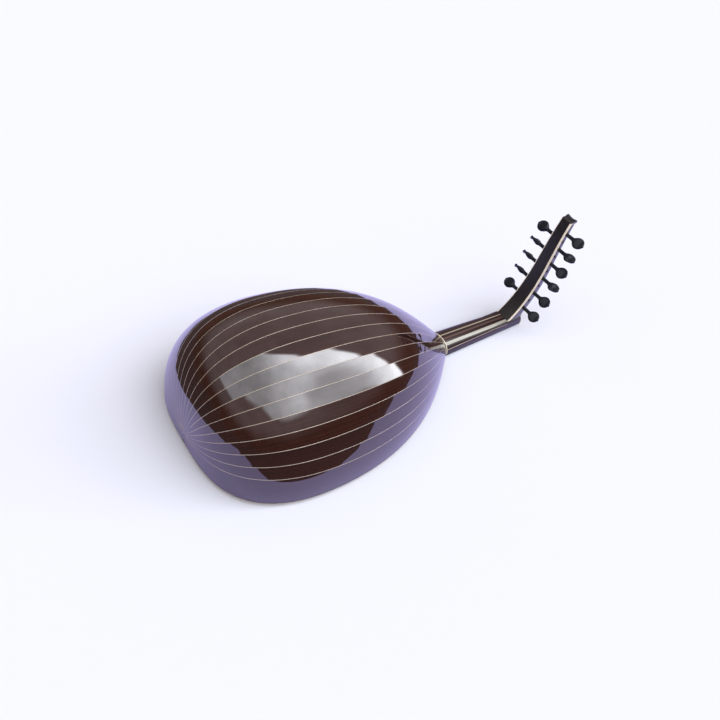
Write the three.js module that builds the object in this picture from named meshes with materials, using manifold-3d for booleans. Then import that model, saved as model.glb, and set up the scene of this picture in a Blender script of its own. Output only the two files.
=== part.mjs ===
import * as THREE from "three";
import { mergeVertices } from "three/addons/utils/BufferGeometryUtils.js";
import Module from "manifold-3d";

const wasm = await Module();
wasm.setup();

// An oud, lying face down. All lengths are in millimetres and all angles in degrees.
// The x axis runs along the strings towards the head, and x is 0 where the bowl meets the neck.
// The z axis points from the strings to the back, and z is 0 at the outer face of the soundboard.

// Bowl
const bowlLength = 485;
const bowlHalfWidth = 170;
const widestFromNeck = 315;
const bowlNeckRadius = 25;
const bowlNeckAngle = 43.6;
const bowlNeckHandle = 85;
const bowlWidestHandle = 165;
const tailRunPower = 2.36;
const tailWidthPower = 3.22;
const axisHeightAtNeck = -0.9;
const axisHeightAtTail = 14.3;
const axisSag = 13.6;
const depthShare = 1.1;
const depthBlendLength = 150;
const ribThickness = 3;
const narrowRibCount = 19;
const narrowRibAngle = 7.84;
const sideRibTurnAngle = 98;
const halfTurnAngle = 180;
const sideRibFineSteps = 4;
const sideRibCoarseSteps = 4;
const frontBowlSteps = 12;
const tailBowlSteps = 10;

// Soundboard and what lies on it
const soundboardThickness = 2;
const bindingWidth = 1.6;
const glueGap = 0.3;
const braceWidth = 6;
const braceHeight = 12;
const braceRosetteGap = 4;
const frontBraceCount = 2;
const rearBraceCount = 3;
const mainHoleRadius = 57;
const mainHoleFromNeck = 190;
const smallHoleRadius = 24;
const smallHoleSpread = 84;
const holeSides = 32;
const rosetteThickness = 2.4;
const rosetteSeatWidth = 4;
const mainRosetteSectors = 12;
const smallRosetteSectors = 8;
const pickguardThickness = 0.8;
const pickguardLength = 112;
const pickguardHalfWidth = 34;
const pickguardHoleGap = 7;

// Blocks inside the bowl
const neckBlockLength = 45;
const tailBlockLength = 26;
const tailBlockHeight = 50;

// Bridge
const bridgeFromNeck = 400;
const bridgeWidth = 13;
const bridgeHeight = 8.5;
const bridgeBarLength = 112;
const bridgeChamfer = 1.5;
const bridgeWingLength = 26;
const bridgeWingThickness = 3.5;
const bridgeStringHeight = 4.6;
const bridgeHoleClearance = 0.35;
const bridgeHoleSides = 8;

// Neck, fingerboard and nut
const neckLength = 195;
const neckEndHalfWidth = 16.6;
const neckEndHeight = 18.4;
const neckSquareFrom = 120;
const neckRoundPower = 2.1;
const neckSquarePower = 7;
const neckSectionSteps = 14;
const neckStations = 9;
const neckEndSlope = 4;
const fingerboardThickness = 3;
const ringLength = 1.6;
const ringWall = 1.6;
const nutThickness = 4.5;
const nutCrest = 3.2;
const nutDepth = 8;
const nutEdgeInset = 0.6;
const nutBackSlope = 2.2;

// Pegbox
const seatLength = 39;
const seatHeight = 17.5;
const pegboxChord = 214;
const pegboxStartAngle = 46.6;
const pegboxChordAngle = 73.3;
const pegboxEndAngle = 75.5;
const pegboxHandleShare = 0.375;
const pegboxStartHalfWidth = 15.1;
const pegboxEndHalfWidth = 10.3;
const pegboxStartDepth = 23;
const pegboxEndDepth = 14;
const pegboxStations = 12;
const pegboxBackThickness = 3;
const cheekThickness = 4.4;
const headCapLength = 8;
const headCapFlare = 0.8;
const headTongueLength = 12;
const headScoopRadius = 16;
const headScoopDepth = 2.5;

// Pegs
const pegCount = 11;
const firstPegAlong = 37;
const pegSpacing = 15.9;
const pegDepthShare = 0.56;
const pegTipRadius = 3;
const pegTaper = 1 / 40;
const pegTipStandOut = 0.8;
const pegReach = 28;
const pegHoleClearance = 0.3;
const pegSides = 10;
const pegHeadRadius = 10;
const pegHeadThickness = 6;
const pegHeadSides = 12;
const pegHeadRingSteps = 6;
const pegCollarRadius = 4.6;
const pegCollarLength = 7;
const pegWaistRadius = 2.9;
const pegKnobRadius = 2.1;
const pegKnobStandOut = 3.2;
const pegTurns = [123, 118, 128, 33, 70, 28, 120, 38, 75, 123, 115];

// Facets of a rounded outline, for each curve in it
const outlineSteps = 6;

// Strings, from the single bass string to the last treble string
const stringDiameters = [1.15, 1.05, 1.05, 0.95, 0.95, 0.85, 0.85, 0.75, 0.75, 0.65, 0.65];
const courseSizes = [1, 2, 2, 2, 2, 2];
const nutCourseSpacing = 5;
const nutPairSpacing = 2.1;
const bridgeCourseSpacing = 17.5;
const bridgePairSpacing = 4;
const nutStringHeight = 1.9;
const nutSlotClearance = 0.3;
const stringTailLength = 1.5;
const stringBendRadius = 1.1;
const bendSteps = 3;
const stringSides = 5;
const firstWindingTurns = 1.75;
const windingTurnsPerPeg = 0.2;
const windingSteps = 10;
const windingGap = 0.5;
const windingClearance = 0.35;
const routeSteps = 48;

// How far a cutting shape runs past what it cuts
const overrun = 5;

const palette = {
  rosewood: { color: 0x3a2019, roughness: 0.25, metalness: 0 },
  walnut: { color: 0x2e1a12, roughness: 0.35, metalness: 0 },
  spruce: { color: 0xd9b27a, roughness: 0.6, metalness: 0 },
  ebony: { color: 0x1c1a1b, roughness: 0.5, metalness: 0 },
  bone: { color: 0xefe6cf, roughness: 0.45, metalness: 0 },
  nylon: { color: 0xe6e2d6, roughness: 0.3, metalness: 0 },
};

const radians = THREE.MathUtils.degToRad;

// Solids from triangles, and booleans on them

function comparePoints(a, b) {
  return a.x - b.x || a.y - b.y || a.z - b.z;
}

// Splits a four-sided face so that a neighbour that shares its corners splits it the same way.
function addQuad(triangles, a, b, c, d) {
  const lowest = [a, b, c, d].reduce((low, point) => (comparePoints(point, low) < 0 ? point : low));
  if (lowest === a || lowest === c) {
    triangles.push([a, b, c], [a, c, d]);
  } else {
    triangles.push([a, b, d], [b, c, d]);
  }
}

function geometryOf(triangles) {
  const solidTriangles = triangles.filter(
    ([a, b, c]) => !a.equals(b) && !b.equals(c) && !c.equals(a),
  );
  const volume = solidTriangles.reduce(
    (sum, [a, b, c]) => sum + a.dot(new THREE.Vector3().crossVectors(b, c)),
    0,
  );
  const positions = solidTriangles.flatMap(([a, b, c]) => {
    const corners = volume < 0 ? [a, c, b] : [a, b, c];
    return corners.flatMap((corner) => corner.toArray());
  });
  return new THREE.BufferGeometry().setAttribute(
    "position",
    new THREE.Float32BufferAttribute(positions, 3),
  );
}

// Joins rings of points, which have the same number of points each, into one closed solid.
// A band's ring runs out along one side and back along the other, so its ends close in strips.
function loft(rings, isBand = false) {
  const triangles = [];
  const count = rings[0].length;
  for (let i = 0; i + 1 < rings.length; i++) {
    for (let k = 0; k < count; k++) {
      const next = (k + 1) % count;
      addQuad(triangles, rings[i][k], rings[i + 1][k], rings[i + 1][next], rings[i][next]);
    }
  }
  const first = rings[0];
  const last = rings[rings.length - 1];
  if (isBand) {
    for (let k = 0; k + 1 < count / 2; k++) {
      const mate = count - 1 - k;
      addQuad(triangles, first[k], first[k + 1], first[mate - 1], first[mate]);
      addQuad(triangles, last[mate], last[mate - 1], last[k + 1], last[k]);
    }
  } else {
    for (let k = 1; k + 1 < count; k++) {
      triangles.push([first[0], first[k], first[k + 1]]);
      triangles.push([last[0], last[k + 1], last[k]]);
    }
  }
  return geometryOf(triangles);
}

function solidFrom(geometry) {
  const bare = geometry.index ? geometry.toNonIndexed() : geometry.clone();
  bare.deleteAttribute("normal");
  bare.deleteAttribute("uv");
  const merged = mergeVertices(bare);
  return new wasm.Manifold(
    new wasm.Mesh({
      numProp: 3,
      vertProperties: merged.attributes.position.array,
      triVerts: new Uint32Array(merged.index.array),
    }),
  );
}

function geometryFrom(solid) {
  const mesh = solid.getMesh();
  return new THREE.BufferGeometry()
    .setAttribute("position", new THREE.BufferAttribute(mesh.vertProperties, 3))
    .setIndex(new THREE.BufferAttribute(mesh.triVerts, 1));
}

function boxSolid(low, high) {
  const size = high.clone().sub(low);
  const centre = low.clone().add(high).multiplyScalar(0.5);
  const geometry = new THREE.BoxGeometry(size.x, size.y, size.z);
  return solidFrom(geometry.translate(centre.x, centre.y, centre.z));
}

// A bar across the instrument, from a section drawn along x and down from the soundboard's face.
function acrossFrom(section, length) {
  const bar = new THREE.ExtrudeGeometry(section, { depth: length, bevelEnabled: false });
  return bar.translate(0, 0, -length / 2).rotateX(-Math.PI / 2);
}

// A cylinder along the y axis whose flats, and not only its corners, clear the radius.
function boreSolid(radius, length, sides) {
  const outer = radius / Math.cos(Math.PI / sides);
  return solidFrom(new THREE.CylinderGeometry(outer, outer, length, sides));
}

// The bowl: a run of cross-sections whose radius swells from the neck and closes at the tail

const bowlAxis = (x) => {
  const share = x / bowlLength;
  const straight = THREE.MathUtils.lerp(axisHeightAtNeck, axisHeightAtTail, share);
  return straight - 4 * axisSag * share * (1 - share);
};

const bowlDepth = (x) => {
  const left = 1 - Math.min(x / depthBlendLength, 1);
  return 1 + (depthShare - 1) * (1 - left * left);
};

function bowlStations() {
  const front = new THREE.CubicBezierCurve(
    new THREE.Vector2(0, bowlNeckRadius),
    new THREE.Vector2(
      bowlNeckHandle * Math.cos(radians(bowlNeckAngle)),
      bowlNeckRadius + bowlNeckHandle * Math.sin(radians(bowlNeckAngle)),
    ),
    new THREE.Vector2(widestFromNeck - bowlWidestHandle, bowlHalfWidth),
    new THREE.Vector2(widestFromNeck, bowlHalfWidth),
  );
  const stations = [];
  for (let i = 0; i <= frontBowlSteps; i++) {
    const point = front.getPoint(i / frontBowlSteps);
    stations.push({ point, tangent: front.getTangent(i / frontBowlSteps) });
  }
  const run = bowlLength - widestFromNeck;
  for (let i = 1; i < tailBowlSteps; i++) {
    const turn = ((i / tailBowlSteps) * Math.PI) / 2;
    const sine = Math.sin(turn);
    const cosine = Math.cos(turn);
    const along = 2 / tailRunPower;
    const across = 2 / tailWidthPower;
    stations.push({
      point: new THREE.Vector2(
        widestFromNeck + run * sine ** along,
        bowlHalfWidth * cosine ** across,
      ),
      tangent: new THREE.Vector2(
        run * along * sine ** (along - 1) * cosine,
        -bowlHalfWidth * across * cosine ** (across - 1) * sine,
      ).normalize(),
    });
  }
  stations.push({ point: new THREE.Vector2(bowlLength, 0), tangent: new THREE.Vector2(0, -1) });
  return stations;
}

const stations = bowlStations();

// The run along the bowl and the radius of a station, moved into the bowl by an inset.
function insetStation(index, inset) {
  const { point, tangent } = stations[index];
  if (index === 0) return new THREE.Vector2(0, point.y - inset / tangent.x);
  return new THREE.Vector2(point.x + inset * tangent.y, Math.max(point.y - inset * tangent.x, 0));
}

function bowlPoint(index, angle, inset) {
  const { x, y: radius } = insetStation(index, inset);
  const turn = radians(angle);
  const side = Math.abs(angle) === halfTurnAngle ? 0 : Math.sin(turn);
  return new THREE.Vector3(
    -x,
    radius * side,
    bowlAxis(x) + bowlDepth(x) * radius * Math.cos(turn),
  );
}

const seamAngle = (seam) => (seam - narrowRibCount / 2) * narrowRibAngle;

function sideRibAngles() {
  const start = seamAngle(narrowRibCount);
  const angles = [];
  for (let i = 0; i < sideRibFineSteps; i++) {
    angles.push(THREE.MathUtils.lerp(start, sideRibTurnAngle, i / sideRibFineSteps));
  }
  for (let i = 0; i <= sideRibCoarseSteps; i++) {
    angles.push(THREE.MathUtils.lerp(sideRibTurnAngle, halfTurnAngle, i / sideRibCoarseSteps));
  }
  return angles;
}

function ribGeometry(angles) {
  const rings = stations.map((station, index) => [
    ...angles.map((angle) => bowlPoint(index, angle, 0)),
    ...angles.map((angle) => bowlPoint(index, angle, ribThickness)).reverse(),
  ]);
  return loft(rings, true);
}

// The space inside the bowl's outer face, moved in by an inset and run on past the neck.
function bowlCore(inset, reach = 0) {
  const side = sideRibAngles();
  const angles = [];
  for (let seam = 0; seam < narrowRibCount; seam++) angles.push(seamAngle(seam));
  angles.push(...side);
  angles.push(...side.slice(1, -1).reverse().map((angle) => -angle));
  const rings = stations.map((station, index) =>
    angles.map((angle) => bowlPoint(index, angle, inset)),
  );
  if (reach) {
    rings.unshift(rings[0].map((point) => point.clone().setX(point.x + reach)));
  }
  return solidFrom(loft(rings));
}

const farAway = bowlLength + neckLength;

function layer(low, high) {
  return boxSolid(
    new THREE.Vector3(-farAway, -farAway, low),
    new THREE.Vector3(farAway, farAway, high),
  );
}

function lengthwise(from, to) {
  return boxSolid(
    new THREE.Vector3(from, -farAway, -farAway),
    new THREE.Vector3(to, farAway, farAway),
  );
}

const aboveSoundboard = layer(soundboardThickness, farAway);

function sideRib(hand) {
  const angles = sideRibAngles().map((angle) => hand * angle);
  return geometryFrom(solidFrom(ribGeometry(angles)).intersect(aboveSoundboard));
}

// Soundboard, binding, braces and rosettes

const soundboardLayer = layer(0, soundboardThickness);
const mainPlateRadius = mainHoleRadius + rosetteSeatWidth;
const smallPlateRadius = smallHoleRadius + rosetteSeatWidth;
const besidePlate = braceRosetteGap + braceWidth / 2;
const braceBeforeHole = mainHoleFromNeck - mainPlateRadius - besidePlate;
const braceAfterHole = mainHoleFromNeck + mainPlateRadius + besidePlate;
const smallHoleFromNeck = braceAfterHole + besidePlate + smallPlateRadius;
const braceAfterSmallHoles = smallHoleFromNeck + smallPlateRadius + besidePlate;

function bracePlaces() {
  const places = [braceBeforeHole, braceAfterHole, braceAfterSmallHoles];
  for (let i = 1; i <= frontBraceCount; i++) {
    places.push(THREE.MathUtils.lerp(neckBlockLength, braceBeforeHole, i / (frontBraceCount + 1)));
  }
  const rearEnd = bowlLength - tailBlockLength;
  for (let i = 1; i <= rearBraceCount; i++) {
    places.push(THREE.MathUtils.lerp(braceAfterSmallHoles, rearEnd, i / (rearBraceCount + 1)));
  }
  return places;
}

function holeSolid(radius, fromNeck, side) {
  return boreSolid(radius, soundboardThickness + 2 * overrun, holeSides)
    .rotate([90, 0, 0])
    .translate([-fromNeck, side, soundboardThickness / 2]);
}

function soundboard() {
  let board = bowlCore(bindingWidth + glueGap).intersect(soundboardLayer);
  board = board.subtract(holeSolid(mainHoleRadius, mainHoleFromNeck, 0));
  for (const side of [-smallHoleSpread, smallHoleSpread]) {
    board = board.subtract(holeSolid(smallHoleRadius, smallHoleFromNeck, side));
  }
  const inside = bowlCore(ribThickness + glueGap);
  for (const place of bracePlaces()) {
    const bar = boxSolid(
      new THREE.Vector3(-place - braceWidth / 2, -farAway, soundboardThickness / 2),
      new THREE.Vector3(-place + braceWidth / 2, farAway, soundboardThickness + braceHeight),
    );
    board = board.add(bar.intersect(inside));
  }
  return geometryFrom(board);
}

function edgeBinding() {
  const rim = bowlCore(0).subtract(bowlCore(bindingWidth, overrun));
  return geometryFrom(rim.intersect(soundboardLayer));
}

// One sector of a pierced star pattern: corners as shares of the radius and of the sector.
const outerLozengeShares = [[0.92, 0], [0.79, 0.3], [0.66, 0], [0.79, -0.3]];
const rimTriangleShares = [[0.92, 0.27], [0.92, 0.73], [0.82, 0.5]];
const middleKiteShares = [[0.71, 0.5], [0.58, 0.7], [0.44, 0.5], [0.58, 0.3]];
const innerArrowShares = [[0.57, 0], [0.46, 0.22], [0.33, 0], [0.46, -0.22]];
const heartStarShares = [[0.28, 0], [0.17, 0.5]];
const mainRosetteShares = [outerLozengeShares, rimTriangleShares, middleKiteShares, innerArrowShares];
const smallRosetteShares = [outerLozengeShares, middleKiteShares];

function polarPoint(radius, angle) {
  return new THREE.Vector2(radius * Math.cos(angle), radius * Math.sin(angle));
}

function rosette(radius, sectors, holeShares, fromNeck, side) {
  const sector = (2 * Math.PI) / sectors;
  const plate = radius + rosetteSeatWidth;
  const edge = Array.from({ length: holeSides }, (_, i) =>
    polarPoint(plate, (i / holeSides) * 2 * Math.PI),
  );
  const shape = new THREE.Shape(edge);
  for (let i = 0; i < sectors; i++) {
    for (const corners of holeShares) {
      const points = corners.map(([out, along]) => polarPoint(out * radius, (i + along) * sector));
      shape.holes.push(new THREE.Path(points));
    }
  }
  const heart = [];
  for (let i = 0; i < sectors; i++) {
    for (const [out, along] of heartStarShares) {
      heart.push(polarPoint(out * radius, (i + along) * sector));
    }
  }
  shape.holes.push(new THREE.Path(heart));
  const disc = new THREE.ExtrudeGeometry(shape, { depth: rosetteThickness, bevelEnabled: false });
  return disc.translate(-fromNeck, side, soundboardThickness);
}

function mainRosette() {
  return rosette(mainHoleRadius, mainRosetteSectors, mainRosetteShares, mainHoleFromNeck, 0);
}

function smallRosette(side) {
  return rosette(smallHoleRadius, smallRosetteSectors, smallRosetteShares, smallHoleFromNeck, side);
}

function pickguard() {
  const near = -(mainHoleFromNeck + mainHoleRadius + pickguardHoleGap);
  const far = near - pickguardLength;
  const middle = (near + far) / 2;
  const shape = new THREE.Shape();
  shape.moveTo(near, 0);
  shape.quadraticCurveTo(near, pickguardHalfWidth, middle, pickguardHalfWidth);
  shape.quadraticCurveTo(far, pickguardHalfWidth, far, 0);
  shape.quadraticCurveTo(far, -pickguardHalfWidth, middle, -pickguardHalfWidth);
  shape.quadraticCurveTo(near, -pickguardHalfWidth, near, 0);
  const plate = new THREE.ExtrudeGeometry(shape, {
    depth: pickguardThickness,
    bevelEnabled: false,
    curveSegments: outlineSteps,
  });
  return plate.translate(0, 0, -pickguardThickness);
}

// The blocks that the ribs, the neck and the soundboard are glued to

function neckBlock() {
  const core = bowlCore(ribThickness + glueGap);
  return geometryFrom(core.intersect(aboveSoundboard).intersect(lengthwise(-neckBlockLength, overrun)));
}

function tailBlock() {
  const core = bowlCore(ribThickness + glueGap);
  const height = layer(soundboardThickness, soundboardThickness + tailBlockHeight);
  const end = lengthwise(-bowlLength - overrun, tailBlockLength - bowlLength);
  return geometryFrom(core.intersect(height).intersect(end));
}

// The order of the strings across the instrument, as places across a course layout

function stringPlaces(courseSpacing, pairSpacing) {
  const places = [];
  courseSizes.forEach((size, course) => {
    const centre = (course - (courseSizes.length - 1) / 2) * courseSpacing;
    for (let i = 0; i < size; i++) places.push(centre + (i - (size - 1) / 2) * pairSpacing);
  });
  return places;
}

const bridgePlaces = stringPlaces(bridgeCourseSpacing, bridgePairSpacing);
const nutPlaces = stringPlaces(nutCourseSpacing, nutPairSpacing);

// Bridge

const bridgeFront = -bridgeFromNeck;
const bridgeBack = bridgeFront - bridgeWidth;

function bridge() {
  const section = new THREE.Shape();
  section.moveTo(bridgeFront, 0);
  section.lineTo(bridgeFront, bridgeHeight - bridgeChamfer);
  section.lineTo(bridgeFront - bridgeChamfer, bridgeHeight);
  section.lineTo(bridgeBack + bridgeChamfer, bridgeHeight);
  section.lineTo(bridgeBack, bridgeHeight - bridgeChamfer);
  section.lineTo(bridgeBack, 0);
  let solid = solidFrom(acrossFrom(section, bridgeBarLength));
  const barEnd = bridgeBarLength / 2;
  const root = barEnd - overrun;
  const tip = barEnd + bridgeWingLength;
  const middle = (bridgeFront + bridgeBack) / 2;
  for (const hand of [-1, 1]) {
    const wing = new THREE.Shape();
    wing.moveTo(bridgeFront, hand * root);
    wing.lineTo(bridgeFront, hand * barEnd);
    wing.quadraticCurveTo(middle, hand * barEnd, bridgeFront, hand * tip);
    wing.quadraticCurveTo(bridgeBack, hand * tip, bridgeBack, hand * barEnd);
    wing.lineTo(bridgeBack, hand * root);
    const plate = new THREE.ExtrudeGeometry(wing, {
      depth: bridgeWingThickness,
      bevelEnabled: false,
      curveSegments: outlineSteps,
    });
    solid = solid.add(solidFrom(plate.translate(0, 0, -bridgeWingThickness)));
  }
  bridgePlaces.forEach((place, i) => {
    const radius = stringDiameters[i] / 2 + bridgeHoleClearance;
    const bore = boreSolid(radius, bridgeWidth + 2 * overrun, bridgeHoleSides)
      .rotate([0, 0, 90])
      .translate([middle, place, -bridgeStringHeight]);
    solid = solid.subtract(bore);
  });
  return geometryFrom(solid);
}

// Neck, ring, fingerboard and nut

const neckStartHeight = axisHeightAtNeck + bowlNeckRadius;
const seatStart = neckLength - seatLength;

const neckHalfWidth = (x) => THREE.MathUtils.lerp(bowlNeckRadius, neckEndHalfWidth, x / neckLength);
const neckHeight = (x) => THREE.MathUtils.lerp(neckStartHeight, neckEndHeight, Math.min(x / seatStart, 1));

// Half of a rounded box over the fingerboard, from one lower corner over the back to the other.
function neckSection(x, inset = 0) {
  const blend = THREE.MathUtils.clamp((x - neckSquareFrom) / (seatStart - neckSquareFrom), 0, 1);
  const power = THREE.MathUtils.lerp(neckRoundPower, neckSquarePower, blend);
  const width = neckHalfWidth(x) - inset;
  const height = neckHeight(x) - fingerboardThickness - inset;
  const points = [];
  for (let i = 0; i <= neckSectionSteps; i++) {
    const turn = (i / neckSectionSteps) * Math.PI;
    const across = i === 0 ? 1 : i === neckSectionSteps ? -1 : Math.cos(turn);
    const up = i === 0 || i === neckSectionSteps ? 0 : Math.sin(turn);
    points.push(
      new THREE.Vector3(
        x,
        Math.sign(across) * width * Math.abs(across) ** (2 / power),
        fingerboardThickness + height * up ** (2 / power),
      ),
    );
  }
  return points;
}

function neck() {
  const rings = [];
  for (let i = 0; i <= neckStations; i++) {
    rings.push(neckSection(THREE.MathUtils.lerp(ringLength, neckLength, i / neckStations)));
  }
  let solid = solidFrom(loft(rings));
  const tenonRing = neckSection(0, ringWall + glueGap);
  const tenonEnd = tenonRing.map((point) => point.clone().setX(ringLength + overrun));
  solid = solid.add(solidFrom(loft([tenonRing, tenonEnd])));
  const seatCut = boxSolid(
    new THREE.Vector3(seatStart, -farAway, seatHeight),
    new THREE.Vector3(farAway, farAway, farAway),
  );
  const slope = new THREE.Shape();
  slope.moveTo(neckLength, -nutDepth);
  slope.lineTo(neckLength + overrun, -nutDepth);
  slope.lineTo(neckLength + overrun, -seatHeight - overrun);
  slope.lineTo(neckLength - neckEndSlope, -seatHeight - overrun);
  slope.lineTo(neckLength - neckEndSlope, -seatHeight);
  const slopeCut = solidFrom(acrossFrom(slope, 4 * neckEndHalfWidth));
  return geometryFrom(solid.subtract(seatCut).subtract(slopeCut));
}

function neckRing() {
  const outer = neckSection(0);
  const inner = neckSection(0, ringWall).reverse();
  const ring = [...outer, ...inner];
  return loft([ring, ring.map((point) => point.clone().setX(ringLength))], true);
}

function fingerboard() {
  const startWidth = neckHalfWidth(0);
  const endWidth = neckHalfWidth(neckLength);
  const shape = new THREE.Shape();
  shape.moveTo(0, -startWidth);
  shape.lineTo(neckLength, -endWidth);
  shape.lineTo(neckLength, endWidth);
  shape.lineTo(0, startWidth);
  return new THREE.ExtrudeGeometry(shape, { depth: fingerboardThickness, bevelEnabled: false });
}

const nutBack = neckLength + nutThickness;

function nut() {
  const halfWidth = neckEndHalfWidth - nutEdgeInset;
  const section = new THREE.Shape();
  section.moveTo(neckLength, -nutDepth);
  section.lineTo(neckLength, nutCrest);
  section.lineTo(nutBack, nutCrest);
  section.lineTo(nutBack, 0);
  section.lineTo(nutBack - nutBackSlope, -nutDepth);
  let solid = solidFrom(acrossFrom(section, 2 * halfWidth));
  nutPlaces.forEach((place, i) => {
    const reach = stringDiameters[i] / 2 + nutSlotClearance;
    const slot = boxSolid(
      new THREE.Vector3(neckLength - overrun, place - reach, -nutCrest - overrun),
      new THREE.Vector3(nutBack + overrun, place + reach, -nutStringHeight + reach),
    );
    solid = solid.subtract(slot);
  });
  return geometryFrom(solid);
}

// Pegbox: a curved, tapering channel that leans back from the neck

function pegboxCurve() {
  const start = new THREE.Vector2(seatStart, seatHeight);
  const direction = (angle) => polarPoint(pegboxChord * pegboxHandleShare, radians(angle));
  const end = start.clone().add(polarPoint(pegboxChord, radians(pegboxChordAngle)));
  return new THREE.CubicBezierCurve(
    start,
    start.clone().add(direction(pegboxStartAngle)),
    end.clone().sub(direction(pegboxEndAngle)),
    end,
  );
}

const pegboxBackLine = pegboxCurve();
const pegboxLength = pegboxBackLine.getLength();

// Where the pegbox is at a length along its back, which may lie a little before or past its ends.
function pegboxFrame(along) {
  const share = THREE.MathUtils.clamp(along / pegboxLength, 0, 1);
  const tangent = pegboxBackLine.getTangentAt(share);
  const extra = along - share * pegboxLength;
  const origin = pegboxBackLine.getPointAt(share).addScaledVector(tangent, extra);
  return {
    halfWidth: THREE.MathUtils.lerp(pegboxStartHalfWidth, pegboxEndHalfWidth, share),
    depth: THREE.MathUtils.lerp(pegboxStartDepth, pegboxEndDepth, share),
    at: (side, depth) =>
      new THREE.Vector3(origin.x + tangent.y * depth, side, origin.y - tangent.x * depth),
  };
}

function pegboxRings(section, from = -seatLength, to = pegboxLength) {
  const frames = [pegboxFrame(from)];
  for (let i = 0; i <= pegboxStations; i++) {
    const along = (i / pegboxStations) * pegboxLength;
    if (along > from && along < to) frames.push(pegboxFrame(along));
  }
  frames.push(pegboxFrame(to));
  return frames.map(section);
}

const aboveSeat = layer(seatHeight, farAway);

function pegboxBack() {
  const rings = pegboxRings(({ halfWidth, at }) => {
    const inner = halfWidth - cheekThickness;
    return [
      at(-halfWidth, 0),
      at(halfWidth, 0),
      at(halfWidth, pegboxBackThickness),
      at(inner, pegboxBackThickness),
      at(-inner, pegboxBackThickness),
      at(-halfWidth, pegboxBackThickness),
    ];
  });
  return geometryFrom(solidFrom(loft(rings)).intersect(aboveSeat));
}

// A peg goes in from the right when its place in the row is even, seen from the back.
const pegHand = (index) => (index % 2 === 0 ? -1 : 1);

function pegPlace(index) {
  const frame = pegboxFrame(firstPegAlong + index * pegSpacing);
  const centre = frame.at(0, frame.depth * pegDepthShare);
  return { x: centre.x, z: centre.z, halfWidth: frame.halfWidth };
}

const pegPlaces = Array.from({ length: pegCount }, (_, index) => pegPlace(index));

// The radius of a peg's shaft at a place across the pegbox.
function pegRadius(index, side) {
  const { halfWidth } = pegPlaces[index];
  const fromTip = halfWidth + pegTipStandOut - side * -pegHand(index);
  return pegTipRadius + pegTaper * fromTip;
}

function pegboxCheek(hand) {
  const rings = pegboxRings(({ halfWidth, depth, at }) => {
    const inner = halfWidth - cheekThickness;
    return [
      at(hand * halfWidth, pegboxBackThickness),
      at(hand * halfWidth, depth),
      at(hand * inner, depth),
      at(hand * inner, pegboxBackThickness),
    ];
  });
  let solid = solidFrom(loft(rings)).intersect(aboveSeat);
  pegPlaces.forEach(({ x, z, halfWidth }, index) => {
    const radius = pegRadius(index, hand * halfWidth) + pegHoleClearance;
    const length = cheekThickness + 2 * overrun;
    const bore = boreSolid(radius, length, pegSides).translate([x, hand * halfWidth, z]);
    solid = solid.subtract(bore);
  });
  return geometryFrom(solid);
}

function pegboxHead() {
  const capSection = (along, flare) => {
    const { halfWidth, depth, at } = pegboxFrame(pegboxLength + along);
    const width = halfWidth + flare;
    return [at(-width, -flare), at(width, -flare), at(width, depth + flare), at(-width, depth + flare)];
  };
  const capRings = [0, 1 / 2, 1].map((share) =>
    capSection(share * headCapLength, share * headCapFlare),
  );
  const cap = solidFrom(loft(capRings));
  const tongueRings = pegboxRings(
    ({ halfWidth, depth, at }) => {
      const width = halfWidth - cheekThickness - glueGap;
      const back = pegboxBackThickness + glueGap;
      const front = depth - glueGap;
      return [at(-width, back), at(width, back), at(width, front), at(-width, front)];
    },
    pegboxLength - headTongueLength,
    pegboxLength + headCapLength / 2,
  );
  const tongue = solidFrom(loft(tongueRings));
  const { depth, at } = pegboxFrame(pegboxLength + headCapLength - headScoopDepth + headScoopRadius);
  const scoopCentre = at(0, depth / 2);
  const scoop = boreSolid(headScoopRadius, 4 * pegboxEndHalfWidth, 4 * pegSides);
  const scoopPlaced = scoop.translate([scoopCentre.x, 0, scoopCentre.z]);
  return geometryFrom(cap.add(tongue).subtract(scoopPlaced));
}

// Pegs: a tapered shaft, an oval collar, a flat round head and a small knob

function pegGeometry(index) {
  const { halfWidth } = pegPlaces[index];
  const headCentre = halfWidth + pegReach;
  const headStart = headCentre - pegHeadRadius;
  const tip = -halfWidth - pegTipStandOut;
  const shaftEnd = headStart - pegCollarLength;
  const shaftRadius = pegTipRadius + pegTaper * (shaftEnd - tip);
  const knobEnd = headCentre + pegHeadRadius + pegKnobStandOut;
  const profile = [
    [0, tip],
    [pegTipRadius, tip],
    [shaftRadius, shaftEnd],
    [pegWaistRadius, shaftEnd + pegCollarLength / 8],
    [pegCollarRadius, headStart - pegCollarLength / 2],
    [pegWaistRadius, headStart],
    [pegWaistRadius, headCentre],
    [pegWaistRadius / 2, knobEnd - 2 * pegKnobRadius],
    [pegKnobRadius, knobEnd - pegKnobRadius],
    [0, knobEnd],
  ].map(([radius, along]) => new THREE.Vector2(radius, along));
  const turned = solidFrom(new THREE.LatheGeometry(profile, pegSides));
  const disc = new THREE.SphereGeometry(pegHeadRadius, pegHeadSides, pegHeadRingSteps);
  disc.scale(pegHeadThickness / (2 * pegHeadRadius), 1, 1).translate(0, headCentre, 0);
  return geometryFrom(turned.add(solidFrom(disc)));
}

// Strings: taut from the bridge over the nut to a peg, and wound round it

function stringPeg(index) {
  const lastRight = pegHand(0) < 0 ? Math.ceil(pegCount / 2) : Math.floor(pegCount / 2);
  return index < lastRight ? 2 * index : 2 * (pegCount - 1 - index) + 1;
}

const thickestString = Math.max(...stringDiameters);

function circlePoints(centre, radius) {
  return Array.from({ length: routeSteps }, (_, i) => {
    const angle = (i / routeSteps) * 2 * Math.PI;
    return { ...centreOffset(centre, radius, angle), angle };
  });
}

function centreOffset(centre, radius, angle) {
  return { x: centre.x + radius * Math.cos(angle), z: centre.z + radius * Math.sin(angle) };
}

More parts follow.
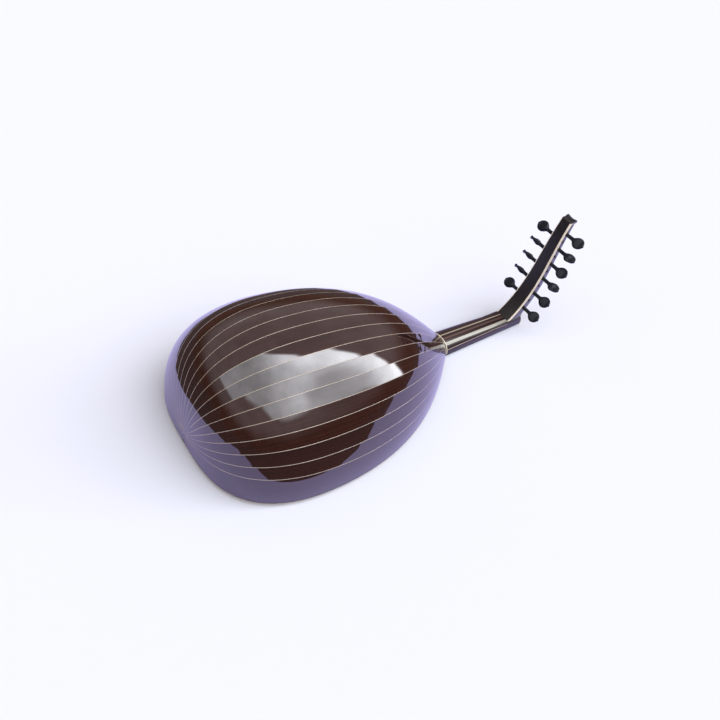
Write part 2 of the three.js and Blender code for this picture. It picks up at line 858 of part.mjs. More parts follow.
// The shortest way from the nut to a peg in front of the pegs that it passes, seen from the side.
function tautRoute(start, target, targetRadius, passed) {
  const points = [{ ...start }];
  for (const { centre, radius } of passed) points.push(...circlePoints(centre, radius));
  const goal = circlePoints(target, targetRadius).map((point) => ({ ...point, isGoal: true }));
  points.push(...goal);
  points.sort((a, b) => a.z - b.z || b.x - a.x);
  const from = points.findIndex((point) => point.x === start.x && point.z === start.z);
  const chain = [];
  for (const point of points.slice(from)) {
    while (chain.length > 1) {
      const a = chain[chain.length - 2];
      const b = chain[chain.length - 1];
      const turn = (b.x - a.x) * (point.z - a.z) - (b.z - a.z) * (point.x - a.x);
      if (turn > 0) break;
      chain.pop();
    }
    chain.push(point);
  }
  return chain.slice(0, chain.findIndex((point) => point.isGoal) + 1);
}

function stringRoute(index) {
  const radius = stringDiameters[index] / 2;
  const bridgeY = bridgePlaces[index];
  const nutY = nutPlaces[index];
  const pegIndex = stringPeg(index);
  const peg = pegPlaces[pegIndex];
  const hand = pegHand(pegIndex);
  const route = [
    new THREE.Vector3(bridgeBack - stringTailLength, bridgeY, -bridgeStringHeight),
    new THREE.Vector3(bridgeFront + bridgeHoleClearance, bridgeY, -bridgeStringHeight),
    new THREE.Vector3(neckLength - nutSlotClearance, nutY, -nutStringHeight),
  ];
  const bendCentre = {
    x: nutBack - stringBendRadius + radius + nutSlotClearance,
    z: stringBendRadius - nutStringHeight,
  };
  const pitch = stringDiameters[index] + windingGap;
  const windingTurns = firstWindingTurns + windingTurnsPerPeg * pegIndex;
  const outerSide = peg.halfWidth - cheekThickness - windingClearance - radius;
  const windingStart = hand * (outerSide - windingTurns * pitch);
  const shaft = pegRadius(pegIndex, hand * outerSide) + windingClearance + radius;
  const windingRadius = shaft / Math.cos(Math.PI / windingSteps);
  const clearOfPegs = pegTipRadius + pegTaper * 2 * (peg.halfWidth + pegTipStandOut);
  const passed = pegPlaces.slice(0, pegIndex).map((place) => ({
    centre: place,
    radius: clearOfPegs + 2 * windingClearance + thickestString + windingGap + radius,
  }));
  for (let i = 0; i <= bendSteps; i++) {
    const place = centreOffset(bendCentre, stringBendRadius, ((i / bendSteps - 1) * Math.PI) / 2);
    route.push(new THREE.Vector3(place.x, nutY, place.z));
  }
  const bendEnd = route[route.length - 1];
  const taut = tautRoute({ x: bendEnd.x, z: bendEnd.z }, peg, windingRadius, passed);
  const rise = taut[taut.length - 1].z - bendEnd.z;
  taut.slice(1).forEach(({ x, z }) => {
    const side = THREE.MathUtils.lerp(nutY, windingStart, (z - bendEnd.z) / rise);
    route.push(new THREE.Vector3(x, side, z));
  });
  const startAngle = taut[taut.length - 1].angle;
  const steps = Math.round(windingTurns * windingSteps);
  for (let i = 1; i <= steps; i++) {
    const place = centreOffset(peg, windingRadius, startAngle + (i / windingSteps) * 2 * Math.PI);
    const side = windingStart + (hand * pitch * i) / windingSteps;
    route.push(new THREE.Vector3(place.x, side, place.z));
  }
  return { route, windingFrom: route.length - 1 - steps };
}

// A closed tube whose rings turn as little as they can from one to the next.
function tube(route, radius, sides) {
  const rings = [];
  let across = new THREE.Vector3(0, 1, 0);
  route.forEach((point, i) => {
    const before = route[Math.max(i - 1, 0)];
    const after = route[Math.min(i + 1, route.length - 1)];
    const into = point.clone().sub(before).normalize();
    const out = after.clone().sub(point).normalize();
    const direction = into.add(out).normalize();
    across = across.addScaledVector(direction, -across.dot(direction)).normalize();
    const up = new THREE.Vector3().crossVectors(direction, across);
    const ring = [];
    for (let k = 0; k < sides; k++) {
      const turn = (k / sides) * 2 * Math.PI;
      const corner = point.clone().addScaledVector(across, radius * Math.cos(turn));
      ring.push(corner.addScaledVector(up, radius * Math.sin(turn)));
    }
    rings.push(ring);
  });
  return loft(rings);
}

// The least distance between the surfaces of turns that lie side by side in a winding.
function windingGapOf({ route, windingFrom }, radius) {
  let least = Infinity;
  for (let i = windingFrom; i < route.length; i++) {
    for (let k = i + Math.ceil(windingSteps / 2); k < route.length; k++) {
      least = Math.min(least, route[i].distanceTo(route[k]) - 2 * radius);
    }
  }
  return least;
}

// Assembly

const oud = new THREE.Group();

function addPiece(name, geometry, finish) {
  const mesh = new THREE.Mesh(geometry, new THREE.MeshStandardMaterial(palette[finish]));
  mesh.name = name;
  oud.add(mesh);
  return mesh;
}

const twoDigits = (number) => String(number).padStart(2, "0");

addPiece("rib_01", sideRib(-1), "rosewood");
for (let rib = 0; rib < narrowRibCount; rib++) {
  const angles = [seamAngle(rib), seamAngle(rib + 1)];
  addPiece("rib_" + twoDigits(rib + 2), ribGeometry(angles), "rosewood");
}
addPiece("rib_" + twoDigits(narrowRibCount + 2), sideRib(1), "rosewood");

addPiece("soundboard", soundboard(), "spruce");
addPiece("edge_binding", edgeBinding(), "walnut");
addPiece("rosette_main", mainRosette(), "walnut");
addPiece("rosette_small_left", smallRosette(smallHoleSpread), "walnut");
addPiece("rosette_small_right", smallRosette(-smallHoleSpread), "walnut");
addPiece("pickguard", pickguard(), "ebony");
addPiece("neck_block", neckBlock(), "spruce");
addPiece("tail_block", tailBlock(), "spruce");
addPiece("bridge", bridge(), "walnut");
addPiece("neck", neck(), "walnut");
addPiece("neck_ring", neckRing(), "bone");
addPiece("fingerboard", fingerboard(), "ebony");
addPiece("nut", nut(), "bone");
addPiece("pegbox_back", pegboxBack(), "ebony");
addPiece("pegbox_cheek_left", pegboxCheek(1), "ebony");
addPiece("pegbox_cheek_right", pegboxCheek(-1), "ebony");
addPiece("pegbox_head", pegboxHead(), "ebony");

pegPlaces.forEach(({ x, z }, index) => {
  const isRight = pegHand(index) < 0;
  const name = (isRight ? "peg_right_" : "peg_left_") + (Math.floor(index / 2) + 1);
  const peg = addPiece(name, pegGeometry(index), "ebony");
  const turn = radians(pegTurns[index]);
  peg.rotation.set(isRight ? Math.PI : 0, isRight ? turn : -turn, 0);
  peg.position.set(x, 0, z);
});

stringDiameters.forEach((diameter, index) => {
  const path = stringRoute(index);
  const name = "string_" + twoDigits(index + 1);
  addPiece(name, tube(path.route, diameter / 2, stringSides), "nylon");
  const gap = windingGapOf(path, diameter / 2).toFixed(2);
  console.log(name + " least gap between turns " + gap + " mm");
});

// The instrument stands on the middle of its lowest plane.
const bounds = new THREE.Box3().setFromObject(oud);
const middle = bounds.getCenter(new THREE.Vector3());
oud.position.set(-middle.x, -middle.y, -bounds.min.z);

export default oud;
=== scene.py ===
import math

import bpy
import numpy as np
from mathutils import Matrix, Vector
from mathutils.geometry import delaunay_2d_cdt


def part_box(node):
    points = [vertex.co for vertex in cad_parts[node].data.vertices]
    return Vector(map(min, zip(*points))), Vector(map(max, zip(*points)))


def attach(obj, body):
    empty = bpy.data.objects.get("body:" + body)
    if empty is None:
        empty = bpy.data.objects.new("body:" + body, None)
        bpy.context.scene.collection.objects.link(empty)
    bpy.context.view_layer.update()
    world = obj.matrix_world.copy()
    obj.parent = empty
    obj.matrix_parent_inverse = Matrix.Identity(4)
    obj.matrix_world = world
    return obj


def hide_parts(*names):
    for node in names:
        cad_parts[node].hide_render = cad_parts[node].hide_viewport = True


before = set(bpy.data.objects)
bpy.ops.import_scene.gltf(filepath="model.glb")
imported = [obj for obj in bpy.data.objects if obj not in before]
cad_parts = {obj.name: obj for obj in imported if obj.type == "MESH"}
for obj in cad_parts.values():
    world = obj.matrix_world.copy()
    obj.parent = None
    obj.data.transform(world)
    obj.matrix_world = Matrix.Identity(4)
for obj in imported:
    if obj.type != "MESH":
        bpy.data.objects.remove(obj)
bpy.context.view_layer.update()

# An oud that lies face down. Lengths are in millimetres and angles in degrees,
# in the part's own frame before it is moved onto its base: x is 0 where the bowl meets the neck
# and grows towards the head, and z is 0 at the outer face of the soundboard.
MM = 0.001
BODY = "instrument"
neck_joint = Vector(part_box("fingerboard")[0])
BASE_SHIFT = Vector((neck_joint.x, 0, neck_joint.z))

# Camera, as the photograph's: round a point over the bowl
CAMERA_TARGET = (-242.5, 0, 60)
CAMERA_DISTANCE = 1096.04
CAMERA_AZIMUTH = -41.34
CAMERA_ELEVATION = 45.65
CAMERA_ROLL = 12.57
CAMERA_PAN = -2.505
CAMERA_TILT = -0.319
CAMERA_LENS = 35
CAMERA_SENSOR = 36

# Bowl
BOWL_LENGTH = 485
BOWL_HALF_WIDTH = 170
WIDEST_FROM_NECK = 315
BOWL_NECK_RADIUS = 25
BOWL_NECK_ANGLE = 43.6
BOWL_NECK_HANDLE = 85
BOWL_WIDEST_HANDLE = 165
TAIL_RUN_POWER = 2.36
TAIL_WIDTH_POWER = 3.22
AXIS_HEIGHT_AT_NECK = -0.9
AXIS_HEIGHT_AT_TAIL = 14.3
AXIS_SAG = 13.6
DEPTH_SHARE = 1.1
DEPTH_BLEND_LENGTH = 150
RIB_THICKNESS = 3
NARROW_RIB_COUNT = 19
NARROW_RIB_ANGLE = 7.84
RIB_CROWN = 0.7
BOWL_INSET = 0.15
PROFILE_SMOOTHING = 8
PROFILE_STEP = 0.5
CURVE_STEPS = 800
TAIL_STEPS = 3000
BOWL_STATIONS = 150
RIB_STEPS = 4
SIDE_RIB_STEPS = 12
LEAST_RADIUS = 0.001
# How far the pattern of the grain moves on for each radian round the bowl
GRAIN_SHIFT = 3.7
SOUNDBOARD_THICKNESS = 2

# Pale lines over the joints between the ribs
PURFLING_WIDTH = 0.7
PURFLING_SHARE_OF_RIB = 0.3
PURFLING_STAND_OUT = 0.03
PURFLING_DEPTH = 0.6
PURFLING_LEAST_RADIUS = 0.01

# Neck and the ring where it meets the bowl
NECK_LENGTH = 195
NECK_END_HALF_WIDTH = 16.6
NECK_END_HEIGHT = 18.4
# How square the neck's section is at places along it, up to the pegbox's seat
NECK_POWER_PLACES = (0, 120, 140, 156)
NECK_POWERS = (2.1, 3.0, 4.4, 7)
NECK_END_SLOPE = 4
NECK_STEPS = 120
NECK_STATIONS = 160
FINGERBOARD_THICKNESS = 3
RING_LENGTH = 1.6
RING_WALL = 1.6
NUT_DEPTH = 8
SEAT_LENGTH = 39
SEAT_HEIGHT = 17.5
INLAY_STAND_OUT = 0.04
INLAY_DEPTH = 0.8
STRIP_STEPS = 9

# Pegbox
PEGBOX_CHORD = 214
PEGBOX_START_ANGLE = 46.6
PEGBOX_CHORD_ANGLE = 73.3
PEGBOX_END_ANGLE = 75.5
PEGBOX_HANDLE_SHARE = 0.375
PEGBOX_START_HALF_WIDTH = 15.1
PEGBOX_END_HALF_WIDTH = 10.3
PEGBOX_START_DEPTH = 23
PEGBOX_END_DEPTH = 14
PEGBOX_BACK_THICKNESS = 3
PEGBOX_STATIONS = 72
PEGBOX_CURVE_STEPS = 600
CHEEK_THICKNESS = 4.4
# Faces of a cheek that look outwards by less than this share are satin, the others glossy
CHEEK_OUTWARD = 0.3
EDGE_ROUND = 0.5
EDGE_ROUND_STEPS = 4
BINDING_SIDE_WIDTH = 6.0
BINDING_BACK_WIDTH = 1.3
JOINT_LINE_WIDTH = 0.7

# Head block. Its side view has places along it and down from its back, as shares.
HEAD_CAP_LENGTH = 8
HEAD_CAP_FLARE = 0.8
HEAD_OUTLINE = (
    (0.0, 0.0), (0.09, 0.02), (0.15, 0.12), (0.18, 0.26), (0.23, 0.38), (0.34, 0.5), (0.53, 0.62),
    (0.76, 0.72), (0.95, 0.82), (1.03, 0.94), (0.98, 1.07), (0.82, 1.17), (0.54, 1.2), (0.25, 1.1),
    (0.0, 1.0),
)
HEAD_OUTLINE_STEPS = 5
HEAD_LAYERS = 24
# How far its two sides are drawn in, and towards which place
HEAD_EDGE = 0.6
HEAD_MIDDLE = (0.3, 0.5)
# Up to this place along it they are drawn in only across it, so that it still meets the pegbox
HEAD_ROOT = 0.05
# The shares by which its horn is shorter in the middle and at its two ends
HEAD_DIP = 0.30
HEAD_CORNER = 0.16
HEAD_CORNER_POWER = 8
# Where down the block this begins, and where it is in full
HEAD_DIP_START = 0.3
HEAD_DIP_FULL = 0.75
# Faces of the block that look sideways by more than this share are glossy, the others satin
HEAD_SIDEWAYS = 0.8

# Pegs
PEG_TIP_RADIUS = 3
PEG_TAPER = 1 / 40
# From the cheek's outer face to the middle of the head
PEG_REACH = 28
PEG_SHOULDER_STAND_OUT = 1.8
PEG_COVE_LENGTH = 4
PEG_WAIST_RADIUS = 3.3
PEG_HEAD_RADIUS = 10.5
PEG_HEAD_FROM_END = 13.2
PEG_BEAD_STAND_OUT = 1.4
# Sections of a peg's head: place from its middle and half width, as shares of its radius,
# and half thickness
PEG_HEAD_SECTIONS = (
    (-1.5, 0.315, 3.3), (-1.3, 0.33, 3.4), (-1.14, 0.38, 3.7), (-1.02, 0.46, 4.1), (-0.92, 0.55, 4.5),
    (-0.8, 0.67, 4.8), (-0.62, 0.80, 4.9), (-0.38, 0.93, 4.6), (-0.12, 0.993, 3.8), (0.12, 0.993, 2.9),
    (0.35, 0.937, 2.3), (0.52, 0.854, 2.2), (0.68, 0.733, 2.6), (0.8, 0.6, 3.1), (0.9, 0.436, 3.2),
    (0.97, 0.24, 2.6), (1.0, 0.01, 0.1),
)
PEG_HEAD_STEPS = 3
PEG_HEAD_FLATNESS = 0.35
PEG_EDGE = 0.5
PEG_BEAD_RADIUS = 2.3
PEG_SIDES = 48
BEAD_RINGS = 16
# How far round each peg is turned, from the nut to the head block
PEG_TURNS = (132, 130, 136, 48, 96, 50, 132, 52, 98, 134, 130)

# Front
SEAM_GAP = 0.1
BINDING_WIDTH = 1.6
MAIN_HOLE_RADIUS = 57
MAIN_HOLE_FROM_NECK = 190
SMALL_HOLE_RADIUS = 24
SMALL_HOLE_SPREAD = 84
SMALL_HOLE_FROM_NECK = 293
HOLE_SIDES = 96
BRACE_WIDTH = 6
BRACE_HEIGHT = 12
BRACE_PLACES = (71.7, 98.3, 125, 258, 328, 360.8, 393.5, 426.3)
ROSETTE_RECESS = 0.6
ROSETTE_THICKNESS = 2.4
ROSETTE_SEAT = 4
ROSETTE_CHAMFER = 0.3
MOULDING_WIDTH = 2.2
MOULDING_STAND_OUT = 0.4
RING_GAP = 1.2
RING_LINE = 0.6
RING_TILES = 3.4
RING_DEPTH = 0.5
RING_STAND_OUT = 0.03
MOSAIC_TILES_PER_LENGTH = 1.6
PICKGUARD_THICKNESS = 0.8
PICKGUARD_LENGTH = 112
PICKGUARD_HALF_WIDTH = 34
PICKGUARD_HOLE_GAP = 7
PICKGUARD_SIDES = 96
PICKGUARD_ROUNDING = 0.8
FILL_EPSILON = 0.0001

# Mosaic round the sound holes
MOSAIC_PALE = (0.62, 0.50, 0.33)
MOSAIC_DARK = (0.03, 0.016, 0.011)
MOSAIC_SPECKLE = (0.12, 0.07, 0.04)
MOSAIC_SPECKLE_SHARE = 0.35
MOSAIC_SPECKLE_SCALE = 900

# Edges, and the angles over which an edge stays sharp in the shading
SOLID_EDGE = 0.35
CHAMFER_STEPS = 2
SHARP_CORNER_ANGLE = 40
SHARP_ANGLE = 35
HEAD_SHARP_ANGLE = 50
PEG_SHARP_ANGLE = 45
PLATE_SHARP_ANGLE = 30

# Strings
STRING_DIAMETERS = (1.15, 1.05, 1.05, 0.95, 0.95, 0.85, 0.85, 0.75, 0.75, 0.65, 0.65)
WELD_DISTANCE = 0.002
TUBE_ROUNDING = 2
TUBE_SWELL = 0.17
WOUND_STRINGS = 5

# Grain of every wood
BAND_SHARE = 0.7
BUMP_DEPTH = 0.2

# Floor through the foot of the bridge and the crest of the nut, and its colours
FLOOR_REACH = 4000
FLOOR_FOOT_X = -401.5
FLOOR_REST_X = 197.25
FLOOR_FOOT_Z = -8.5
FLOOR_REST_Z = -3.2
WHITE = (0.93, 0.975, 1.0)
FLOOR_COLOUR = (0.77, 0.79, 0.865)
# Colour of the sheet in reflections: the pale ground round the instrument, with the floor's shade painted in
# as a darker lavender
SHADED_SHEET_COLOUR = (0.53, 0.50, 0.84)
# Colour in reflections beyond the sheet: dark, where the camera sees the floor colour
BEYOND_SHEET_COLOUR = (0.085, 0.065, 0.06)
# The pale sheet that the gloss shows around the instrument, seen from above
SHEET_OUTLINE = (
    (-860, -290), (-660, -300), (-540, -265), (-450, -232), (-300, -245), (-200, -290), (198, -600),
    (1400, -1150), (1314, -732), (1060, -300), (1150, 0), (1400, 250), (2000, 1100), (838, 791),
    (51, 326), (-86, 280), (-150, 370), (-230, 460), (-342, 445), (-449, 425), (-515, 320),
    (-545, 220), (-575, 120), (-640, 35), (-720, -40), (-790, -150),
)

# Sky that only the gloss and the lighting see: over a skyline on the near side, dim elsewhere.
# The skyline is a height, as a sine, for each direction round the instrument, as a share of a turn.
SKYLINE = (
    (0.0, 0.5), (0.275, 0.5), (0.32, 0.68), (0.389, 0.70), (0.43, 0.60), (0.472, 0.47), (0.555, 0.47),
    (0.575, 0.50), (0.597, 0.46), (0.617, 0.41), (0.64, 0.37), (0.655, 0.30), (0.67, 0.19),
    (0.689, 0.06), (0.75, 0.0),
)
SKYLINE_BLUR = 0.04
SKY_COLOUR = (0.93, 0.95, 1.0)
SKY_LEVEL = 1.5
DIM_COLOUR = (0.13, 0.07, 0.05)
CEILING_COLOUR = (0.42, 0.35, 0.35)
CEILING_HEIGHTS = (0.1, 0.4)
NEAR_DIRECTION = (-0.313, -0.937, 0.155)
NEAR_BEGINS = (0.0, 0.04)
RIGHT_DIRECTION = (0.985, -0.174, 0)
# Brighter towards the right, and along the rim between the near and the far side
SKY_SIDE_LEVEL = 2.0
SKY_SIDE_BEGINS = (-0.3, 0.5)
SKY_RIM_LEVEL = 2.5
SKY_RIM_BEGINS = (-0.2, 0.5)
SKY_RIM_ENDS = (0.03, 0.4)
CLOUD_SCALE = 5.0
CLOUD_DETAIL = 5.0
CLOUD_LEAST = 0.6
CLOUD_SHARE = 0.8
# A darker patch of the sky, low on the right
SKY_SHADE_DIRECTION = (0.58, -0.60, 0.55)
SKY_SHADE = 0.4
SKY_SHADE_BEGINS = (0.93, 0.99)


def metres(point):
    """A place in metres, on the base that the part stands on."""
    return Vector(point) * MM + BASE_SHIFT


# Meshes

def add_piece(name, points, faces, material, uvs=None, replaces=(), body=BODY, smooth=True):
    """A mesh from points in millimetres that rides on a body and may stand for CAD nodes."""
    mesh = bpy.data.meshes.new(name)
    mesh.from_pydata([metres(point) for point in points], [], faces)
    mesh.validate()
    mesh.update()
    if uvs is not None:
        layer = mesh.uv_layers.new(name="grain")
        for loop in mesh.loops:
            layer.data[loop.index].uv = uvs[loop.vertex_index]
    mesh.polygons.foreach_set("use_smooth", [smooth] * len(mesh.polygons))
    mesh.materials.append(material)
    piece = bpy.data.objects.new(name, mesh)
    bpy.context.scene.collection.objects.link(piece)
    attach(piece, body)
    if replaces:
        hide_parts(*replaces)
    return piece


def loft_faces(ring_count, ring_size, closed_ring=True, offset=0):
    faces = []
    for i in range(ring_count - 1):
        for k in range(ring_size if closed_ring else ring_size - 1):
            following = (k + 1) % ring_size
            faces.append((
                offset + i * ring_size + k,
                offset + i * ring_size + following,
                offset + (i + 1) * ring_size + following,
                offset + (i + 1) * ring_size + k,
            ))
    return faces


def smooth_by_angle(piece, angle=SHARP_ANGLE):
    """Marks edges sharper than an angle, so that the rest shades smoothly."""
    mesh = piece.data
    mesh.update()
    facing = {}
    for polygon in mesh.polygons:
        for key in polygon.edge_keys:
            facing.setdefault(key, []).append(polygon.normal)
    attribute = mesh.attributes.get("sharp_edge") or mesh.attributes.new("sharp_edge", "BOOLEAN", "EDGE")
    limit = math.cos(math.radians(angle))
    for edge in mesh.edges:
        normals = facing.get(tuple(sorted(edge.vertices)), [])
        if len(normals) == 2 and normals[0].dot(normals[1]) < limit:
            attribute.data[edge.index].value = True


def loft(name, rings, material, sharp_angle=SHARP_ANGLE, turned_ends=False, **options):
    """A solid through rings of equal size, with a face over each end."""
    count = len(rings[0])
    last = count * (len(rings) - 1)
    start = tuple(range(count))
    end = tuple(range(last, last + count))
    ends = [start, end[::-1]] if turned_ends else [start[::-1], end]
    points = [point for ring in rings for point in ring]
    piece = add_piece(name, points, loft_faces(len(rings), count) + ends, material, **options)
    if sharp_angle is not None:
        smooth_by_angle(piece, sharp_angle)
    return piece


def heading(angle):
    """A step of length one at an angle, in a flat view."""
    return np.array([math.cos(math.radians(angle)), math.sin(math.radians(angle))])


def bezier(handles, steps):
    """Points of a cubic curve from the first of four handles to the last."""
    t = np.linspace(0, 1, steps)[:, None]
    first, second, third, last = (np.array(handle) for handle in handles)
    return ((1 - t) ** 3 * first + 3 * (1 - t) ** 2 * t * second
            + 3 * (1 - t) * t ** 2 * third + t ** 3 * last)


def run_along(line):
    """The length from the start of a line to each of its points."""
    return np.concatenate([[0], np.cumsum(np.linalg.norm(np.diff(line, axis=0), axis=1))])


# Materials

class Nodes:
    """Adds shader nodes to a material or world and links them."""

    def __init__(self, owner):
        owner.use_nodes = True
        self.tree = owner.node_tree
        self.tree.nodes.clear()

    def add(self, kind, inputs=None, **settings):
        node = self.tree.nodes.new(kind)
        for key, value in settings.items():
            setattr(node, key, value)
        for key, value in (inputs or {}).items():
            self.set(node, key, value)
        return node

    def set(self, node, key, value):
        socket = node.inputs[key]
        if isinstance(value, bpy.types.NodeSocket):
            self.tree.links.new(value, socket)
        else:
            socket.default_value = value

    def math(self, operation, *values):
        node = self.add("ShaderNodeMath", operation=operation)
        for index, value in enumerate(values):
            self.set(node, index, value)
        return node.outputs[0]

    def vector_math(self, operation, *values):
        node = self.add("ShaderNodeVectorMath", operation=operation)
        for index, value in enumerate(values):
            self.set(node, index, value)
        return node

    def ramp(self, factor, stops):
        node = self.add("ShaderNodeValToRGB", {"Fac": factor})
        elements = node.color_ramp.elements
        while len(elements) < len(stops):
            elements.new(0.5)
        for element, (position, colour) in zip(elements, stops):
            element.position = position
            element.color = (*colour, 1)
        return node.outputs["Color"]

    def mix(self, factor, first, second):
        node = self.add("ShaderNodeMix", data_type="RGBA")
        self.set(node, "Factor", factor)
        self.set(node, 6, first)
        self.set(node, 7, second)
        return node.outputs[2]

    def smooth_range(self, value, low, high):
        node = self.add("ShaderNodeMapRange", {"Value": value, "From Min": low, "From Max": high})
        node.interpolation_type = "SMOOTHSTEP"
        return node.outputs[0]


def wood(name, stops, stretch, roughness, coat=0.0, coat_roughness=0.03, fine_scale=14.0, bump=0.05,
         ior=1.5, coat_ior=1.5, coordinates="Object"):
    """Wood with bands and fine pores, drawn out along the grain by unequal stretches."""
    material = bpy.data.materials.new(name)
    nodes = Nodes(material)
    place = nodes.add("ShaderNodeTexCoord").outputs[coordinates]
    vector = nodes.add("ShaderNodeMapping", {"Vector": place, "Scale": stretch}).outputs["Vector"]
    bands = nodes.add("ShaderNodeTexNoise", {
        "Vector": vector, "Scale": 1.0, "Detail": 6.0, "Roughness": 0.6, "Distortion": 0.4,
    }).outputs["Fac"]
    fine = nodes.add("ShaderNodeTexNoise", {
        "Vector": vector, "Scale": fine_scale, "Detail": 3.0, "Roughness": 0.7,
    }).outputs["Fac"]
    mixed = nodes.math("ADD", nodes.math("MULTIPLY", bands, BAND_SHARE),
                       nodes.math("MULTIPLY", fine, 1 - BAND_SHARE))
    colour = nodes.ramp(mixed, stops)
    height = nodes.add("ShaderNodeBump", {"Height": fine, "Strength": bump, "Distance": BUMP_DEPTH * MM})
    shader = nodes.add("ShaderNodeBsdfPrincipled", {
        "Base Color": colour,
        "Roughness": roughness,
        "IOR": ior,
        "Coat Weight": coat,
        "Coat Roughness": coat_roughness,
        "Coat IOR": coat_ior,
        "Normal": height.outputs["Normal"],
    })
    nodes.add("ShaderNodeOutputMaterial", {"Surface": shader.outputs["BSDF"]})
    return material


ROSEWOOD_STOPS = [
    (0.30, (0.005, 0.0018, 0.0016)),
    (0.45, (0.014, 0.0036, 0.0030)),
    (0.55, (0.031, 0.0075, 0.0058)),
    (0.70, (0.062, 0.0165, 0.0120)),
]
rosewood = wood("rib_rosewood", ROSEWOOD_STOPS, (1.2, 60, 1), 0.06, coat=1.0, coat_roughness=0.015,
                ior=1.6, coat_ior=1.7, bump=0.0, coordinates="UV")
MAPLE_STOPS = [
    (0.35, (0.36, 0.29, 0.21)),
    (0.65, (0.54, 0.46, 0.35)),
]
purfling_wood = wood("purfling_maple", MAPLE_STOPS, (4, 90, 1), 0.06, coat=1.0, coat_roughness=0.015,
                     ior=1.6, coat_ior=1.7, bump=0.0, coordinates="UV")


# Bowl: the same profile as the solids, smoothed and evenly divided

def bowl_axis(x):
    share = x / BOWL_LENGTH
    straight = AXIS_HEIGHT_AT_NECK + (AXIS_HEIGHT_AT_TAIL - AXIS_HEIGHT_AT_NECK) * share
    return straight - 4 * AXIS_SAG * share * (1 - share)


def bowl_depth(x):
    left = 1 - np.minimum(x / DEPTH_BLEND_LENGTH, 1)
    return 1 + (DEPTH_SHARE - 1) * (1 - left * left)


def smoothed(values, mirror_end):
    """A running average that keeps both ends: straight on past the start, mirrored past the tail."""
    reach = int(4 * PROFILE_SMOOTHING / PROFILE_STEP)
    before = 2 * values[0] - values[reach:0:-1]
    after = mirror_end * values[-2:-reach - 2:-1]
    window = np.arange(-reach, reach + 1) * PROFILE_STEP / PROFILE_SMOOTHING
    weights = np.exp(-window * window / 2)
    weights /= weights.sum()
    return np.convolve(np.concatenate([before, values, after]), weights, "valid")


def bowl_profile():
    """Places along the bowl, each with its run from the neck, radius and unit tangent."""
    start = np.array([0, BOWL_NECK_RADIUS])
    front = bezier((
        start,
        start + BOWL_NECK_HANDLE * heading(BOWL_NECK_ANGLE),
        (WIDEST_FROM_NECK - BOWL_WIDEST_HANDLE, BOWL_HALF_WIDTH),
        (WIDEST_FROM_NECK, BOWL_HALF_WIDTH),
    ), CURVE_STEPS)
    turn = np.linspace(0, math.pi / 2, TAIL_STEPS)[1:]
    run = BOWL_LENGTH - WIDEST_FROM_NECK
    tail = np.stack([
        WIDEST_FROM_NECK + run * np.sin(turn) ** (2 / TAIL_RUN_POWER),
        BOWL_HALF_WIDTH * np.clip(np.cos(turn), 0, 1) ** (2 / TAIL_WIDTH_POWER),
    ], axis=1)
    outline = np.vstack([front, tail])
    outline[-1] = (BOWL_LENGTH, 0)
    length = run_along(outline)
    even = np.arange(0, length[-1], PROFILE_STEP)
    x = smoothed(np.interp(even, length, outline[:, 0]), 1)
    radius = smoothed(np.interp(even, length, outline[:, 1]), -1)
    x = np.append(x, x[-1])
    radius = np.append(radius, 0)
    tangent = np.stack([np.gradient(x), np.gradient(radius)], axis=1)
    tangent /= np.linalg.norm(tangent, axis=1)[:, None]
    tangent[-1] = (0, -1)
    share = np.linspace(0, 1, BOWL_STATIONS)
    places = share * (len(x) - 1)
    columns = np.column_stack([x, radius, tangent]).T
    picked = [np.interp(places, np.arange(len(column)), column) for column in columns]
    return picked[0], picked[1], np.stack(picked[2:], axis=1), share * length[-1]


station_x, station_radius, station_tangent, station_length = bowl_profile()


def bowl_point(station, angle, inset, half_angle=None, middle=None):
    """A point of the bowl. A rib's back is a little flatter than the whole bowl's round."""
    tangent = station_tangent[station]
    if station == 0:
        x = 0.0
        radius = station_radius[0] - inset / tangent[0]
    else:
        x = station_x[station] + inset * tangent[1]
        radius = max(station_radius[station] - inset * tangent[0], 0.0)
    if half_angle is not None:
        chord = math.cos(half_angle) / math.cos(angle - middle)
        radius *= chord + (1 - chord) * RIB_CROWN
    height = bowl_axis(x) + bowl_depth(x) * radius * math.cos(angle)
    return (-x, radius * math.sin(angle), float(height))


def seam_angle(seam):
    return math.radians((seam - NARROW_RIB_COUNT / 2) * NARROW_RIB_ANGLE)


def soundboard_angle(station, inset):
    """The angle at which a section of the bowl comes down to the soundboard."""
    tangent = station_tangent[station]
    x = station_x[station] + inset * tangent[1]
    radius = max(station_radius[station] - inset * tangent[0], LEAST_RADIUS)
    cosine = (SOUNDBOARD_THICKNESS - bowl_axis(x)) / (bowl_depth(x) * radius)
    return math.acos(min(max(cosine, -1), 1))


def rib(name, node, angles_at, half_angle=None, middle=None):
    """A closed curved rib between two angles, with its grain along it."""
    points = []
    uvs = []
    outer_count = len(angles_at(0, BOWL_INSET))
    for station in range(BOWL_STATIONS):
        outer = angles_at(station, BOWL_INSET)
        inner = angles_at(station, RIB_THICKNESS)
        for angle in outer:
            points.append(bowl_point(station, angle, BOWL_INSET, half_angle, middle))
        for angle in reversed(inner):
            points.append(bowl_point(station, angle, RIB_THICKNESS))
        width = station_radius[station]
        for angle in list(outer) + list(reversed(inner)):
            uvs.append((station_length[station] * MM, angle * width * MM + angle * GRAIN_SHIFT))
    ring = 2 * outer_count
    faces = loft_faces(BOWL_STATIONS, ring)
    for k in range(outer_count - 1):
        faces.append((k, ring - 1 - k, ring - 2 - k, k + 1))
    piece = add_piece(name, points, faces, rosewood, uvs, replaces=(node,))
    sharpen(piece, outer_count, ring)


